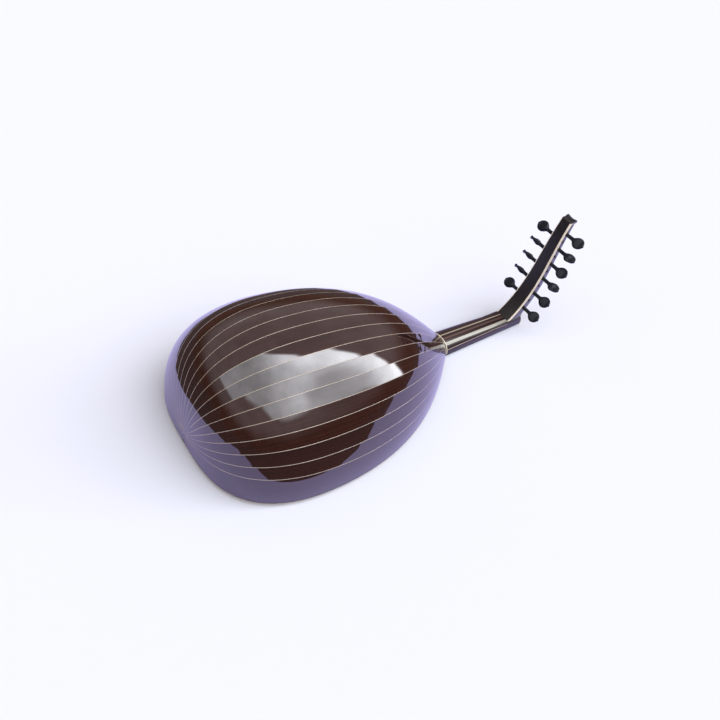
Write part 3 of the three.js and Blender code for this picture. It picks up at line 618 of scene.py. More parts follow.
def sharpen(piece, outer_count, ring):
    """Keeps a rib's outer face smooth and its edges sharp."""
    mesh = piece.data
    attribute = mesh.attributes.new("sharp_edge", "BOOLEAN", "EDGE")
    corner_columns = {0, outer_count - 1, outer_count, ring - 1}
    for edge in mesh.edges:
        columns = {edge.vertices[0] % ring, edge.vertices[1] % ring}
        if len(columns) == 1 and columns <= corner_columns:
            attribute.data[edge.index].value = True


def make_ribs():
    half_angle = math.radians(NARROW_RIB_ANGLE / 2)
    for number in range(NARROW_RIB_COUNT):
        low = seam_angle(number)
        high = seam_angle(number + 1)
        angles = list(np.linspace(low, high, RIB_STEPS + 1))
        name = "rib_%02d" % (number + 2)
        rib("curved_" + name, name, lambda station, inset: angles, half_angle, (low + high) / 2)
    for hand, node in ((-1, "rib_01"), (1, "rib_%02d" % (NARROW_RIB_COUNT + 2))):
        start = seam_angle(NARROW_RIB_COUNT)

        def side_angles(station, inset):
            end = soundboard_angle(station, inset)
            return [hand * angle for angle in np.linspace(start, max(end, start), SIDE_RIB_STEPS + 1)]

        rib("curved_" + node, node, side_angles)


def make_purfling():
    """Thin pale strips let in along every joint between two ribs."""
    half_rib = math.radians(NARROW_RIB_ANGLE / 2)
    top = BOWL_INSET - PURFLING_STAND_OUT
    section = ((-1, top), (0, top), (1, top), (1, PURFLING_DEPTH), (-1, PURFLING_DEPTH))
    for seam in range(NARROW_RIB_COUNT + 1):
        angle = seam_angle(seam)
        rings = []
        uvs = []
        for station in range(BOWL_STATIONS - 1):
            radius = max(station_radius[station], PURFLING_LEAST_RADIUS)
            crowded = PURFLING_SHARE_OF_RIB * 2 * half_rib * radius
            half_width = min(PURFLING_WIDTH, crowded) / 2 / radius
            ring = []
            for side, inset in section:
                middle = angle + math.copysign(half_rib, side or 1)
                ring.append(bowl_point(station, angle + side * half_width, inset, half_rib, middle))
                uvs.append((station_length[station] * MM, side * PURFLING_WIDTH * MM))
            rings.append(ring)
        loft("purfling_%02d" % (seam + 1), rings, purfling_wood, sharp_angle=None, uvs=uvs)


make_ribs()
make_purfling()


# Neck

NECK_WOOD_STOPS = [
    (0.30, (0.008, 0.003, 0.003)), (0.50, (0.018, 0.006, 0.006)), (0.70, (0.045, 0.019, 0.016)),
]
walnut = wood("neck_walnut", NECK_WOOD_STOPS, (3, 110, 110), 0.3, coat=0.3, coat_roughness=0.14)
pale_maple = wood("inlay_pale", [(0.35, (0.36, 0.34, 0.28)), (0.65, (0.46, 0.44, 0.37))],
                  (4, 120, 120), 0.3, coat=0.4, coat_roughness=0.16, bump=0.0)
cream = wood("inlay_cream", MAPLE_STOPS, (6, 150, 150), 0.12, coat=1.0, coat_roughness=0.02, bump=0.0)
brown_line = wood("inlay_brown", [(0.4, (0.09, 0.05, 0.04)), (0.7, (0.16, 0.10, 0.08))],
                  (6, 150, 150), 0.3, coat=0.4, coat_roughness=0.16, bump=0.0)
bone = wood("ring_bone", [(0.3, (0.62, 0.55, 0.42)), (0.7, (0.74, 0.68, 0.55))],
            (8, 60, 60), 0.25, coat=0.6, coat_roughness=0.1, bump=0.02)


def blend(low, high, share):
    return low + (high - low) * min(max(share, 0), 1)


seat_start = NECK_LENGTH - SEAT_LENGTH


def neck_shape(x):
    """Half width, height over the fingerboard and squareness of the neck's section."""
    half_width = blend(BOWL_NECK_RADIUS, NECK_END_HALF_WIDTH, x / NECK_LENGTH)
    top = blend(AXIS_HEIGHT_AT_NECK + BOWL_NECK_RADIUS, NECK_END_HEIGHT, x / seat_start)
    power = float(np.interp(x, NECK_POWER_PLACES, NECK_POWERS))
    return half_width, top - FINGERBOARD_THICKNESS, power


def neck_point(x, turn, stand_out=0.0):
    half_width, height, power = neck_shape(x)
    across = math.cos(turn)
    up = max(math.sin(turn), 0)
    side = math.copysign(abs(across) ** (2 / power), across) * (half_width + stand_out)
    return (x, side, FINGERBOARD_THICKNESS + (height + stand_out) * up ** (2 / power))


def neck_end(z):
    """Where the neck's end face is at a height: upright at first, then leaning back."""
    share = (z - NUT_DEPTH) / (SEAT_HEIGHT - NUT_DEPTH)
    return blend(NECK_LENGTH, NECK_LENGTH - NECK_END_SLOPE, share)


def make_neck():
    turns = np.linspace(0, math.pi, NECK_STEPS + 1)
    rings = [[neck_point(x, turn) for turn in turns]
             for x in np.linspace(RING_LENGTH, seat_start, NECK_STATIONS)]
    for x in np.linspace(seat_start, NECK_LENGTH, NECK_STATIONS // 4):
        ring = []
        for turn in turns:
            along, side, height = neck_point(x, turn)
            height = min(height, SEAT_HEIGHT)
            ring.append((min(along, neck_end(height)), side, height))
        rings.append(ring)
    loft("neck_back", rings, walnut, turned_ends=True, replaces=("neck",))


def turn_at_side(x, side):
    """How far round the neck's section a place across it is."""
    half_width, _, power = neck_shape(x)
    share = min(abs(side) / half_width, 1) ** (power / 2)
    return math.acos(math.copysign(share, side))


def turn_at_height(x, z, hand):
    """How far round the neck's section a height on one of its sides is."""
    _, height, power = neck_shape(x)
    share = min((z - FINGERBOARD_THICKNESS) / height, 1) ** (power / 2)
    angle = math.asin(share)
    return angle if hand > 0 else math.pi - angle


def neck_strip(name, edges_at, material):
    """A thin strip let into the neck's back. edges_at gives its two edges at a place."""
    rings = []
    for x in np.linspace(RING_LENGTH, seat_start, NECK_STATIONS):
        low, high = edges_at(x)
        top = [neck_point(x, turn, INLAY_STAND_OUT) for turn in np.linspace(low, high, STRIP_STEPS)]
        bottom = [neck_point(x, turn, -INLAY_DEPTH) for turn in np.linspace(high, low, STRIP_STEPS)]
        rings.append(top + bottom)
    loft(name, rings, material)


# Strips let into the neck: their middles and widths at both ends, and their wood
INLAY_SIDES = {
    "inlay_left": (3.0, 5.8, 2.1, 1.9, cream),
    "inlay_middle": (-5.6, -1.6, 3.4, 3.0, brown_line),
    "inlay_right": (-15.6, -11.4, 4.6, 5.4, pale_maple),
}
# Lines low on the neck's sides: their heights at both ends
INLAY_HEIGHTS = {"inlay_low_right": (12.0, 14.0), "inlay_low_left": (12.0, 14.0)}
INLAY_LOW_WIDTH = 0.9


def make_neck_inlays():
    for name, (start, end, start_width, end_width, material) in INLAY_SIDES.items():
        def edges(x):
            side = blend(start, end, x / seat_start)
            half = blend(start_width, end_width, x / seat_start) / 2
            return turn_at_side(x, side + half), turn_at_side(x, side - half)

        neck_strip(name, edges, material)
    for name, (start, end) in INLAY_HEIGHTS.items():
        hand = -1 if "right" in name else 1

        def edges(x):
            height = blend(start, end, x / seat_start)
            pair = [turn_at_height(x, height + half * INLAY_LOW_WIDTH, hand) for half in (-0.5, 0.5)]
            return min(pair), max(pair)

        neck_strip(name, edges, cream)


def make_neck_ring():
    turns = np.linspace(0, math.pi, NECK_STEPS + 1)
    points = []
    for x in (0, RING_LENGTH):
        points += [neck_point(x, turn, INLAY_STAND_OUT) for turn in turns]
        points += [neck_point(x, turn, -RING_WALL) for turn in reversed(turns)]
    count = 2 * (NECK_STEPS + 1)
    faces = loft_faces(2, count)
    for ring in (0, count):
        for k in range(NECK_STEPS):
            face = (ring + k, ring + k + 1, ring + count - 2 - k, ring + count - 1 - k)
            faces.append(face if ring else tuple(reversed(face)))
    piece = add_piece("joint_ring", points, faces, bone, replaces=("neck_ring",))
    smooth_by_angle(piece)


make_neck()
make_neck_inlays()
make_neck_ring()


# Pegbox

pegbox_black = wood("pegbox_black", [(0.35, (0.009, 0.008, 0.008)), (0.65, (0.020, 0.017, 0.017))],
                    (4, 140, 140), 0.38, bump=0.25)
cheek_black = wood("cheek_black", [(0.35, (0.010, 0.009, 0.010)), (0.65, (0.022, 0.018, 0.019))],
                   (4, 140, 140), 0.10, coat=1.0, coat_roughness=0.04, coat_ior=1.7)
peg_black = wood("peg_ebony", [(0.35, (0.003, 0.006, 0.010)), (0.65, (0.008, 0.013, 0.020))],
                 (60, 8, 60), 0.34, bump=0.12, ior=1.38)
binding_cream = wood("pegbox_cream", [(0.35, (0.93, 0.80, 0.61)), (0.65, (1.0, 0.90, 0.73))],
                     (5, 150, 150), 0.5)


def pegbox_curve():
    """The line of the pegbox's back in side view."""
    start = np.array([seat_start, SEAT_HEIGHT])
    reach = PEGBOX_CHORD * PEGBOX_HANDLE_SHARE
    end = start + PEGBOX_CHORD * heading(PEGBOX_CHORD_ANGLE)
    return bezier((start, start + reach * heading(PEGBOX_START_ANGLE),
                   end - reach * heading(PEGBOX_END_ANGLE), end), PEGBOX_CURVE_STEPS)


pegbox_line = pegbox_curve()
pegbox_lengths = run_along(pegbox_line)
pegbox_length = pegbox_lengths[-1]
pegbox_tangents = np.gradient(pegbox_line, axis=0)
pegbox_tangents /= np.linalg.norm(pegbox_tangents, axis=1)[:, None]
pegbox_columns = np.hstack([pegbox_line, pegbox_tangents]).T


def pegbox_at(along):
    """Origin, tangent, half width and depth of the pegbox at a length along its back."""
    within = min(max(along, 0), pegbox_length)
    picked = np.array([np.interp(within, pegbox_lengths, column) for column in pegbox_columns])
    tangent = picked[2:] / np.linalg.norm(picked[2:])
    share = within / pegbox_length
    half_width = blend(PEGBOX_START_HALF_WIDTH, PEGBOX_END_HALF_WIDTH, share)
    depth = blend(PEGBOX_START_DEPTH, PEGBOX_END_DEPTH, share)
    return picked[:2] + tangent * (along - within), tangent, half_width, depth


def pegbox_point(along, side, depth):
    origin, tangent, _, _ = pegbox_at(along)
    return (origin[0] + tangent[1] * depth, side, origin[1] - tangent[0] * depth)


def bar(outer, inner, top, bottom, radius=EDGE_ROUND):
    """A four-sided section across the pegbox with its corners cut round."""
    corners = [Vector(corner) for corner in ((outer, top), (outer, bottom), (inner, bottom), (inner, top))]
    result = []
    for index, here in enumerate(corners):
        start = here + (corners[index - 1] - here).normalized() * radius
        end = here + (corners[(index + 1) % len(corners)] - here).normalized() * radius
        for t in np.linspace(0, 1, EDGE_ROUND_STEPS + 1):
            result.append(tuple((1 - t) ** 2 * start + 2 * (1 - t) * t * here + t * t * end))
    return result


def pegbox_loft(name, section, material, start=0, end=pegbox_length, stations=PEGBOX_STATIONS, **options):
    """A bar along the pegbox. section gives its outline for a half width and depth of the pegbox."""
    rings = []
    for along in np.linspace(start, end, stations):
        _, _, half_width, depth = pegbox_at(along)
        rings.append([pegbox_point(along, side, down) for side, down in section(half_width, depth)])
    return loft(name, rings, material, **options)


def paint(piece, material, chosen):
    """Gives a second material to the faces that are chosen by how far they look to the left."""
    piece.data.materials.append(material)
    for polygon in piece.data.polygons:
        if chosen(polygon.normal.y):
            polygon.material_index = 1


def make_pegbox():
    def back(half_width, depth):
        return bar(half_width, -half_width, 0, PEGBOX_BACK_THICKNESS)

    pegbox_loft("pegbox_back_plate", back, pegbox_black, replaces=("pegbox_back",))
    for hand, side_name in ((1, "left"), (-1, "right")):
        def cheek(half_width, depth):
            inner = half_width - CHEEK_THICKNESS
            return bar(hand * half_width, hand * inner, PEGBOX_BACK_THICKNESS, depth)

        def binding(half_width, depth):
            outer = half_width + INLAY_STAND_OUT
            inner = half_width - BINDING_BACK_WIDTH
            return bar(hand * outer, hand * inner, -INLAY_STAND_OUT, BINDING_SIDE_WIDTH, EDGE_ROUND / 2)

        node = "pegbox_cheek_" + side_name
        piece = pegbox_loft("cheek_" + side_name, cheek, cheek_black, replaces=(node,))
        paint(piece, pegbox_black, lambda leftward: leftward * hand < CHEEK_OUTWARD)
        pegbox_loft("pegbox_binding_" + side_name, binding, binding_cream)


def rounded_through(corners, steps):
    """A smooth line through points, as a chain of Catmull-Rom pieces."""
    points = [Vector(corner) for corner in corners]
    points = [2 * points[0] - points[1]] + points + [2 * points[-1] - points[-2]]
    result = []
    for i in range(1, len(points) - 2):
        p0, p1, p2, p3 = points[i - 1:i + 3]
        for step in range(steps):
            t = step / steps
            result.append(0.5 * (2 * p1 + (p2 - p0) * t + (2 * p0 - 5 * p1 + 4 * p2 - p3) * t * t
                                 + (3 * p1 - p0 - 3 * p2 + p3) * t ** 3))
    result.append(points[-2])
    return [tuple(point) for point in result]


def make_head():
    """The block at the tip: its end rises in a curve to a horn in front, which dips in its middle."""
    _, _, half_width, depth = pegbox_at(pegbox_length)
    edge_share = 1 - HEAD_EDGE / half_width
    layers = [(-1, HEAD_EDGE)]
    layers += [(share, 0) for share in np.linspace(-edge_share, edge_share, HEAD_LAYERS)]
    layers += [(1, HEAD_EDGE)]
    rings = []
    for across, shrink in layers:
        lowered = HEAD_DIP * (1 - across * across) + HEAD_CORNER * across ** HEAD_CORNER_POWER
        ring = []
        for along_share, down_share in rounded_through(HEAD_OUTLINE, HEAD_OUTLINE_STEPS):
            dip_share = blend(0, 1, (down_share - HEAD_DIP_START) / (HEAD_DIP_FULL - HEAD_DIP_START))
            left = 1 - lowered * dip_share
            inward = (Vector(HEAD_MIDDLE) - Vector((along_share, down_share))).normalized() * shrink
            along = along_share * left * HEAD_CAP_LENGTH + (inward.x if along_share > HEAD_ROOT else 0)
            side = across * (half_width + HEAD_CAP_FLARE * along_share)
            ring.append(pegbox_point(pegbox_length + along, side, down_share * depth + inward.y))
        rings.append(ring)
    piece = loft("head_block", rings, pegbox_black, HEAD_SHARP_ANGLE, replaces=("pegbox_head",))
    paint(piece, cheek_black, lambda leftward: abs(leftward) > HEAD_SIDEWAYS)


def make_joint_lines():
    """Thin pale lines across the cheeks where the head block begins."""
    for hand, side_name in ((1, "left"), (-1, "right")):
        def line(half_width, depth):
            outer = hand * (half_width + INLAY_STAND_OUT)
            inner = hand * (half_width - INLAY_DEPTH)
            return [(outer, 0), (outer, depth), (inner, depth), (inner, 0)]

        pegbox_loft("head_line_" + side_name, line, binding_cream, pegbox_length - JOINT_LINE_WIDTH,
                    stations=2)


make_pegbox()
make_head()
make_joint_lines()


# Pegs

def peg_rings(tip, head_centre):
    """Sections from a peg's tip to the end of its head: place, half width and half thickness."""
    shoulder = head_centre - PEG_REACH + PEG_SHOULDER_STAND_OUT
    shaft_radius = PEG_TIP_RADIUS + PEG_TAPER * (shoulder - tip)
    shaft = [(tip, 0), (tip, PEG_TIP_RADIUS - PEG_EDGE), (tip + PEG_EDGE, PEG_TIP_RADIUS),
             (shoulder, shaft_radius), (shoulder + PEG_EDGE, shaft_radius - PEG_EDGE),
             (shoulder + PEG_COVE_LENGTH, PEG_WAIST_RADIUS)]
    rings = [(place, radius, radius) for place, radius in shaft]
    for place, width, thickness in rounded_through(PEG_HEAD_SECTIONS, PEG_HEAD_STEPS):
        rings.append((head_centre + place * PEG_HEAD_RADIUS, width * PEG_HEAD_RADIUS, thickness))
    return rings


def make_peg(name, turn):
    """One smooth body from the tip through the shaft to the head, and a bead at its end."""
    low, high = (Vector(corner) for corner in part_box(name))
    origin = ((low + high) / 2 - BASE_SHIFT) / MM
    hand = 1 if low.y + high.y > 0 else -1
    tip = (low.y if hand > 0 else -high.y) / MM
    head_centre = (high.y if hand > 0 else -low.y) / MM - PEG_HEAD_FROM_END
    normal = Vector((math.cos(turn), 0, math.sin(turn)))
    across = Vector((-math.sin(turn), 0, math.cos(turn)))
    angles = [2 * math.pi * k / PEG_SIDES for k in range(PEG_SIDES)]
    rings = peg_rings(tip, head_centre)
    points = []
    for along, half_width, thickness in rings:
        flat = PEG_HEAD_FLATNESS * min(max(half_width / max(thickness, PEG_EDGE) - 1, 0), 1)
        for angle in angles:
            thick = math.copysign(abs(math.sin(angle)) ** (1 - flat), math.sin(angle))
            place = across * half_width * math.cos(angle) - normal * thickness * thick
            points.append((place.x, along, place.z))
    faces = loft_faces(len(rings), PEG_SIDES)
    start = len(points)
    bead_centre = head_centre + PEG_HEAD_RADIUS + PEG_BEAD_STAND_OUT - PEG_BEAD_RADIUS
    for ring in range(BEAD_RINGS + 1):
        lean = math.pi * ring / BEAD_RINGS
        radius = PEG_BEAD_RADIUS * math.sin(lean)
        for angle in angles:
            points.append((radius * math.cos(angle), bead_centre - PEG_BEAD_RADIUS * math.cos(lean),
                           radius * math.sin(angle)))
    faces += loft_faces(BEAD_RINGS + 1, PEG_SIDES, offset=start)
    placed = [(x + origin.x, hand * y, z + origin.z) for x, y, z in points]
    if hand > 0:
        faces = [tuple(reversed(face)) for face in faces]
    piece = add_piece("turned_" + name, placed, faces, peg_black, replaces=(name,), body=name)
    smooth_by_angle(piece, PEG_SHARP_ANGLE)


for index, degrees in enumerate(PEG_TURNS):
    side_word = "left" if index % 2 else "right"
    make_peg("peg_%s_%d" % (side_word, index // 2 + 1), math.radians(degrees))


# Front: soundboard, edge binding, rosettes, pickguard

SPRUCE_STOPS = [
    (0.36, (0.47, 0.27, 0.11)), (0.5, (0.58, 0.37, 0.17)), (0.64, (0.66, 0.46, 0.25)),
]
spruce = wood("front_spruce", SPRUCE_STOPS, (2, 420, 2), 0.38, coat=0.35, coat_roughness=0.25,
              fine_scale=3.0, bump=0.12)
inner_spruce = wood("inner_spruce", [(0.36, (0.55, 0.38, 0.20)), (0.64, (0.68, 0.52, 0.33))],
                    (420, 2, 420), 0.7, bump=0.1)
dark_wood = wood("dark_walnut", [(0.35, (0.030, 0.014, 0.009)), (0.65, (0.085, 0.042, 0.026))],
                 (4, 150, 150), 0.3, coat=0.6, coat_roughness=0.12, bump=0.12)
carved_wood = wood("carved_pearwood", [(0.35, (0.12, 0.055, 0.028)), (0.65, (0.22, 0.11, 0.06))],
                   (8, 200, 200), 0.45, bump=0.2)
ebony = wood("fingerboard_ebony", [(0.35, (0.009, 0.008, 0.008)), (0.65, (0.024, 0.020, 0.019))],
             (5, 160, 160), 0.35, bump=0.2)


def filled(loops):
    """Corners and triangles that fill an outline and leave its holes open."""
    edges = []
    start = 0
    for loop in loops:
        count = len(loop)
        edges += [(start + k, start + (k + 1) % count) for k in range(count)]
        start += count
    corners = [Vector(corner) for loop in loops for corner in loop]
    made, _, triangles, *_ = delaunay_2d_cdt(corners, edges, [], 0, FILL_EPSILON)
    kept = []
    for a, b, c in triangles:
        centre = (made[a] + made[b] + made[c]) / 3
        if sum(crossings(centre, loop) for loop in loops) % 2:
            upward = (made[b] - made[a]).cross(made[c] - made[a]) > 0
            kept.append((a, b, c) if upward else (c, b, a))
    return [tuple(corner) for corner in made], kept


def crossings(place, loop):
    """How often a line from a place towards +x crosses an outline."""
    line = np.array(loop)
    after = np.roll(line, -1, axis=0)
    passes = (line[:, 1] > place[1]) != (after[:, 1] > place[1])
    here, there = line[passes], after[passes]
    share = (place[1] - here[:, 1]) / (there[:, 1] - here[:, 1])
    return int(np.sum(here[:, 0] + share * (there[:, 0] - here[:, 0]) > place[0]))


def flat_piece(name, loops, low, high, material, replaces=()):
    """A plate between two heights from a flat outline and the outlines of its holes."""
    corners, triangles = filled(loops)
    count = len(corners)
    points = [(x, y, low) for x, y in corners] + [(x, y, high) for x, y in corners]
    faces = []
    borders = {}
    for a, b, c in triangles:
        faces.append((count + a, count + b, count + c))
        faces.append((c, b, a))
        for pair in ((a, b), (b, c), (c, a)):
            borders[pair] = True
    for a, b in borders:
        if (b, a) not in borders:
            faces.append((a, b, count + b, count + a))
    piece = add_piece(name, points, faces, material, replaces=replaces)
    smooth_by_angle(piece, PLATE_SHARP_ANGLE)
    return piece


def circle(centre, radius, sides):
    turns = [2 * math.pi * k / sides for k in range(sides)]
    return [(centre[0] + radius * math.cos(turn), centre[1] + radius * math.sin(turn)) for turn in turns]


def level_angle(station, inset, height):
    """The angle at which a section of the bowl crosses a height."""
    tangent = station_tangent[station]
    x = station_x[station] + inset * tangent[1] if station else 0
    radius = max(station_radius[station] - inset * tangent[0], LEAST_RADIUS)
    cosine = (height - bowl_axis(x)) / (bowl_depth(x) * radius)
    return math.acos(min(max(cosine, -1), 1))


def bowl_outline(inset, height):
    """The bowl's outline at a height, from the neck round the tail and back."""
    half = []
    for station in range(BOWL_STATIONS - 1):
        x, y, _ = bowl_point(station, level_angle(station, inset, height), inset)
        if not half or x < half[-1][0] or abs(y) < abs(half[-1][1]):
            half.append((x, abs(y)))
    return half + [(x, -y) for x, y in reversed(half)]


HOLES = {
    "rosette_main": ((-MAIN_HOLE_FROM_NECK, 0), MAIN_HOLE_RADIUS),
    "rosette_small_left": ((-SMALL_HOLE_FROM_NECK, SMALL_HOLE_SPREAD), SMALL_HOLE_RADIUS),
    "rosette_small_right": ((-SMALL_HOLE_FROM_NECK, -SMALL_HOLE_SPREAD), SMALL_HOLE_RADIUS),
}


def make_soundboard():
    level = SOUNDBOARD_THICKNESS / 2
    outline = bowl_outline(BINDING_WIDTH + SEAM_GAP, level)
    holes = [circle(centre, radius, HOLE_SIDES) for centre, radius in HOLES.values()]
    flat_piece("front_board", [outline] + holes, 0, SOUNDBOARD_THICKNESS, spruce, replaces=("soundboard",))
    rim = bowl_outline(BOWL_INSET, level)
    flat_piece("front_edging", [rim, bowl_outline(BINDING_WIDTH, level)], 0, SOUNDBOARD_THICKNESS,
               dark_wood, replaces=("edge_binding",))
    for number, place in enumerate(BRACE_PLACES):
        low = SOUNDBOARD_THICKNESS
        high = low + BRACE_HEIGHT
        near, far = -place - BRACE_WIDTH / 2, -place + BRACE_WIDTH / 2
        points = [(x, side * half_width_at(place, z), z) for z in (low, high)
                  for x, side in ((near, -1), (far, -1), (far, 1), (near, 1))]
        faces = [(0, 3, 2, 1), (4, 5, 6, 7)]
        faces += [(k, (k + 1) % 4, 4 + (k + 1) % 4, 4 + k) for k in range(4)]
        add_piece("brace_%d" % (number + 1), points, faces, inner_spruce, smooth=False)


def half_width_at(place, height):
    """Half the room between the ribs at a place along the bowl and a height over the soundboard."""
    inset = RIB_THICKNESS + SEAM_GAP
    half_widths = [bowl_point(station, level_angle(station, inset, height), inset)[1]
                   for station in range(BOWL_STATIONS - 1)]
    return float(np.interp(place, station_x[:BOWL_STATIONS - 1], half_widths))


# One sector of a pierced star pattern: corners as shares of the radius and of the sector
OUTER_LOZENGE = ((0.92, 0), (0.79, 0.3), (0.66, 0), (0.79, -0.3))
RIM_TRIANGLE = ((0.92, 0.27), (0.92, 0.73), (0.82, 0.5))
MIDDLE_KITE = ((0.71, 0.5), (0.58, 0.7), (0.44, 0.5), (0.58, 0.3))
INNER_ARROW = ((0.57, 0), (0.46, 0.22), (0.33, 0), (0.46, -0.22))
HEART_STAR = ((0.28, 0), (0.17, 0.5))
# Sectors and openings of each rosette
ROSETTE_PATTERNS = {
    "rosette_main": (12, (OUTER_LOZENGE, RIM_TRIANGLE, MIDDLE_KITE, INNER_ARROW)),
    "rosette_small_left": (8, (OUTER_LOZENGE, MIDDLE_KITE)),
    "rosette_small_right": (8, (OUTER_LOZENGE, MIDDLE_KITE)),
}


def rosette_loops(centre, radius, sectors, openings):
    sector = 2 * math.pi / sectors

    def place(out, along):
        return (centre[0] + out * radius * math.cos(along * sector),
                centre[1] + out * radius * math.sin(along * sector))

    loops = [circle(centre, radius - SEAM_GAP, HOLE_SIDES)]
    for i in range(sectors):
        for corners in openings:
            loops.append([place(out, i + along) for out, along in corners])
    loops.append([place(out, i + along) for i in range(sectors) for out, along in HEART_STAR])
    return loops


def make_rosettes():
    for node, (sectors, openings) in ROSETTE_PATTERNS.items():
        centre, radius = HOLES[node]
        loops = rosette_loops(centre, radius, sectors, openings)
        lattice = flat_piece("lattice_" + node, loops, ROSETTE_RECESS, SOUNDBOARD_THICKNESS, carved_wood)
        chamfer(lattice, ROSETTE_CHAMFER)
        backing = [circle(centre, radius + ROSETTE_SEAT, HOLE_SIDES)] + loops[1:]
        flat_piece("back_" + node, backing, SOUNDBOARD_THICKNESS, SOUNDBOARD_THICKNESS + ROSETTE_THICKNESS,
                   carved_wood, replaces=(node,))
        ring = [circle(centre, radius - SEAM_GAP, HOLE_SIDES),
                circle(centre, radius - MOULDING_WIDTH, HOLE_SIDES)]
        moulding = flat_piece("moulding_" + node, ring, -MOULDING_STAND_OUT, ROSETTE_RECESS, dark_wood)
        chamfer(moulding, ROSETTE_CHAMFER)
        mosaic_ring(node, centre, radius)


def mosaic_ring(node, centre, radius):
    """A ring of small dark and pale tiles between two thin lines, let into the soundboard."""
    bands = ((RING_GAP, RING_LINE, dark_wood), (RING_GAP + RING_LINE, RING_TILES, mosaic(centre, radius)),
             (RING_GAP + RING_LINE + RING_TILES, RING_LINE, dark_wood))
    for number, (start, width, material) in enumerate(bands):
        ring = [circle(centre, radius + start + width, HOLE_SIDES),
                circle(centre, radius + start, HOLE_SIDES)]
        flat_piece("ring_%d_%s" % (number + 1, node), ring, -RING_STAND_OUT, RING_DEPTH, material)


def mosaic(centre, radius):
    material = bpy.data.materials.new("mosaic_%d_%d" % (radius, centre[1]))
    nodes = Nodes(material)
    place = nodes.add("ShaderNodeTexCoord").outputs["Object"]
    from_centre = nodes.vector_math("SUBTRACT", place, metres((*centre, 0))).outputs["Vector"]
    parts = nodes.add("ShaderNodeSeparateXYZ", {"Vector": from_centre})
    turn = nodes.math("ARCTAN2", parts.outputs["Y"], parts.outputs["X"])
    tiles = int(radius * MOSAIC_TILES_PER_LENGTH)
    saw = nodes.math("FRACT", nodes.math("MULTIPLY", turn, tiles / (2 * math.pi)))
    distance = nodes.vector_math("LENGTH", from_centre).outputs["Value"]
    across = nodes.math("DIVIDE", nodes.math("SUBTRACT", distance, (radius + RING_GAP + RING_LINE) * MM),
                        RING_TILES * MM)
    slant = nodes.math("ABSOLUTE", nodes.math("SUBTRACT", across, 0.5))
    pattern = nodes.math("GREATER_THAN", nodes.math("ABSOLUTE", nodes.math("SUBTRACT", saw, 0.5)), slant)
    colour = nodes.mix(pattern, (*MOSAIC_PALE, 1), (*MOSAIC_DARK, 1))
    speckle = nodes.add("ShaderNodeTexNoise", {
        "Vector": place, "Scale": MOSAIC_SPECKLE_SCALE, "Detail": 2.0,
    }).outputs["Fac"]
    toned = nodes.mix(nodes.math("MULTIPLY", speckle, MOSAIC_SPECKLE_SHARE), colour, (*MOSAIC_SPECKLE, 1))
    shader = nodes.add("ShaderNodeBsdfPrincipled", {
        "Base Color": toned, "Roughness": 0.35, "Coat Weight": 0.4,
    })
    nodes.add("ShaderNodeOutputMaterial", {"Surface": shader.outputs["BSDF"]})
    return material


def chamfer(piece, width):
    modifier = piece.modifiers.new("chamfer", "BEVEL")
    modifier.width = width * MM
    modifier.segments = CHAMFER_STEPS
    modifier.limit_method = "ANGLE"
    modifier.angle_limit = math.radians(SHARP_CORNER_ANGLE)
    modifier.harden_normals = True


def make_pickguard():
    near = -(MAIN_HOLE_FROM_NECK + MAIN_HOLE_RADIUS + PICKGUARD_HOLE_GAP)
    middle = near - PICKGUARD_LENGTH / 2
    outline = []
    for along, across in circle((0, 0), 1, PICKGUARD_SIDES):
        along = math.copysign(abs(along) ** PICKGUARD_ROUNDING, along)
        across = math.copysign(abs(across) ** PICKGUARD_ROUNDING, across)
        outline.append((middle + along * PICKGUARD_LENGTH / 2, across * PICKGUARD_HALF_WIDTH))
    plate = flat_piece("drop_shaped_pickguard", [outline], -PICKGUARD_THICKNESS, 0, ebony,
                       replaces=("pickguard",))
    chamfer(plate, PICKGUARD_THICKNESS / 3)


make_soundboard()
make_rosettes()
make_pickguard()


# Solids that stay as they are, with softened edges and their own woods

bass_metal = wood("string_silver", [(0.3, (0.55, 0.52, 0.48)), (0.7, (0.75, 0.73, 0.70))],
                  (900, 60, 60), 0.25, bump=0.6)
nylon = wood("string_nylon", [(0.3, (0.55, 0.54, 0.50)), (0.7, (0.72, 0.71, 0.67))],
             (9, 300, 300), 0.2, coat=0.5, bump=0.0)


def shading_group():
    """A node group that shades a mesh smoothly except over sharp corners."""
    group = bpy.data.node_groups.new("smooth_shading", "GeometryNodeTree")
    group.interface.new_socket("Geometry", in_out="INPUT", socket_type="NodeSocketGeometry")
    group.interface.new_socket("Geometry", in_out="OUTPUT", socket_type="NodeSocketGeometry")
    start = group.nodes.new("NodeGroupInput")
    end = group.nodes.new("NodeGroupOutput")
    angle = group.nodes.new("GeometryNodeInputMeshEdgeAngle")
    compare = group.nodes.new("FunctionNodeCompare")
    compare.operation = "GREATER_THAN"
    compare.inputs["B"].default_value = math.radians(SHARP_CORNER_ANGLE)
    edges = group.nodes.new("GeometryNodeSetShadeSmooth")
    edges.domain = "EDGE"
    edges.inputs["Shade Smooth"].default_value = False
    faces = group.nodes.new("GeometryNodeSetShadeSmooth")
    faces.domain = "FACE"
    links = group.links
    links.new(start.outputs[0], faces.inputs["Geometry"])
    links.new(faces.outputs["Geometry"], edges.inputs["Geometry"])
    links.new(angle.outputs["Unsigned Angle"], compare.inputs["A"])
    links.new(compare.outputs["Result"], edges.inputs["Selection"])
    links.new(edges.outputs["Geometry"], end.inputs[0])
    return group


smooth_shading = shading_group()


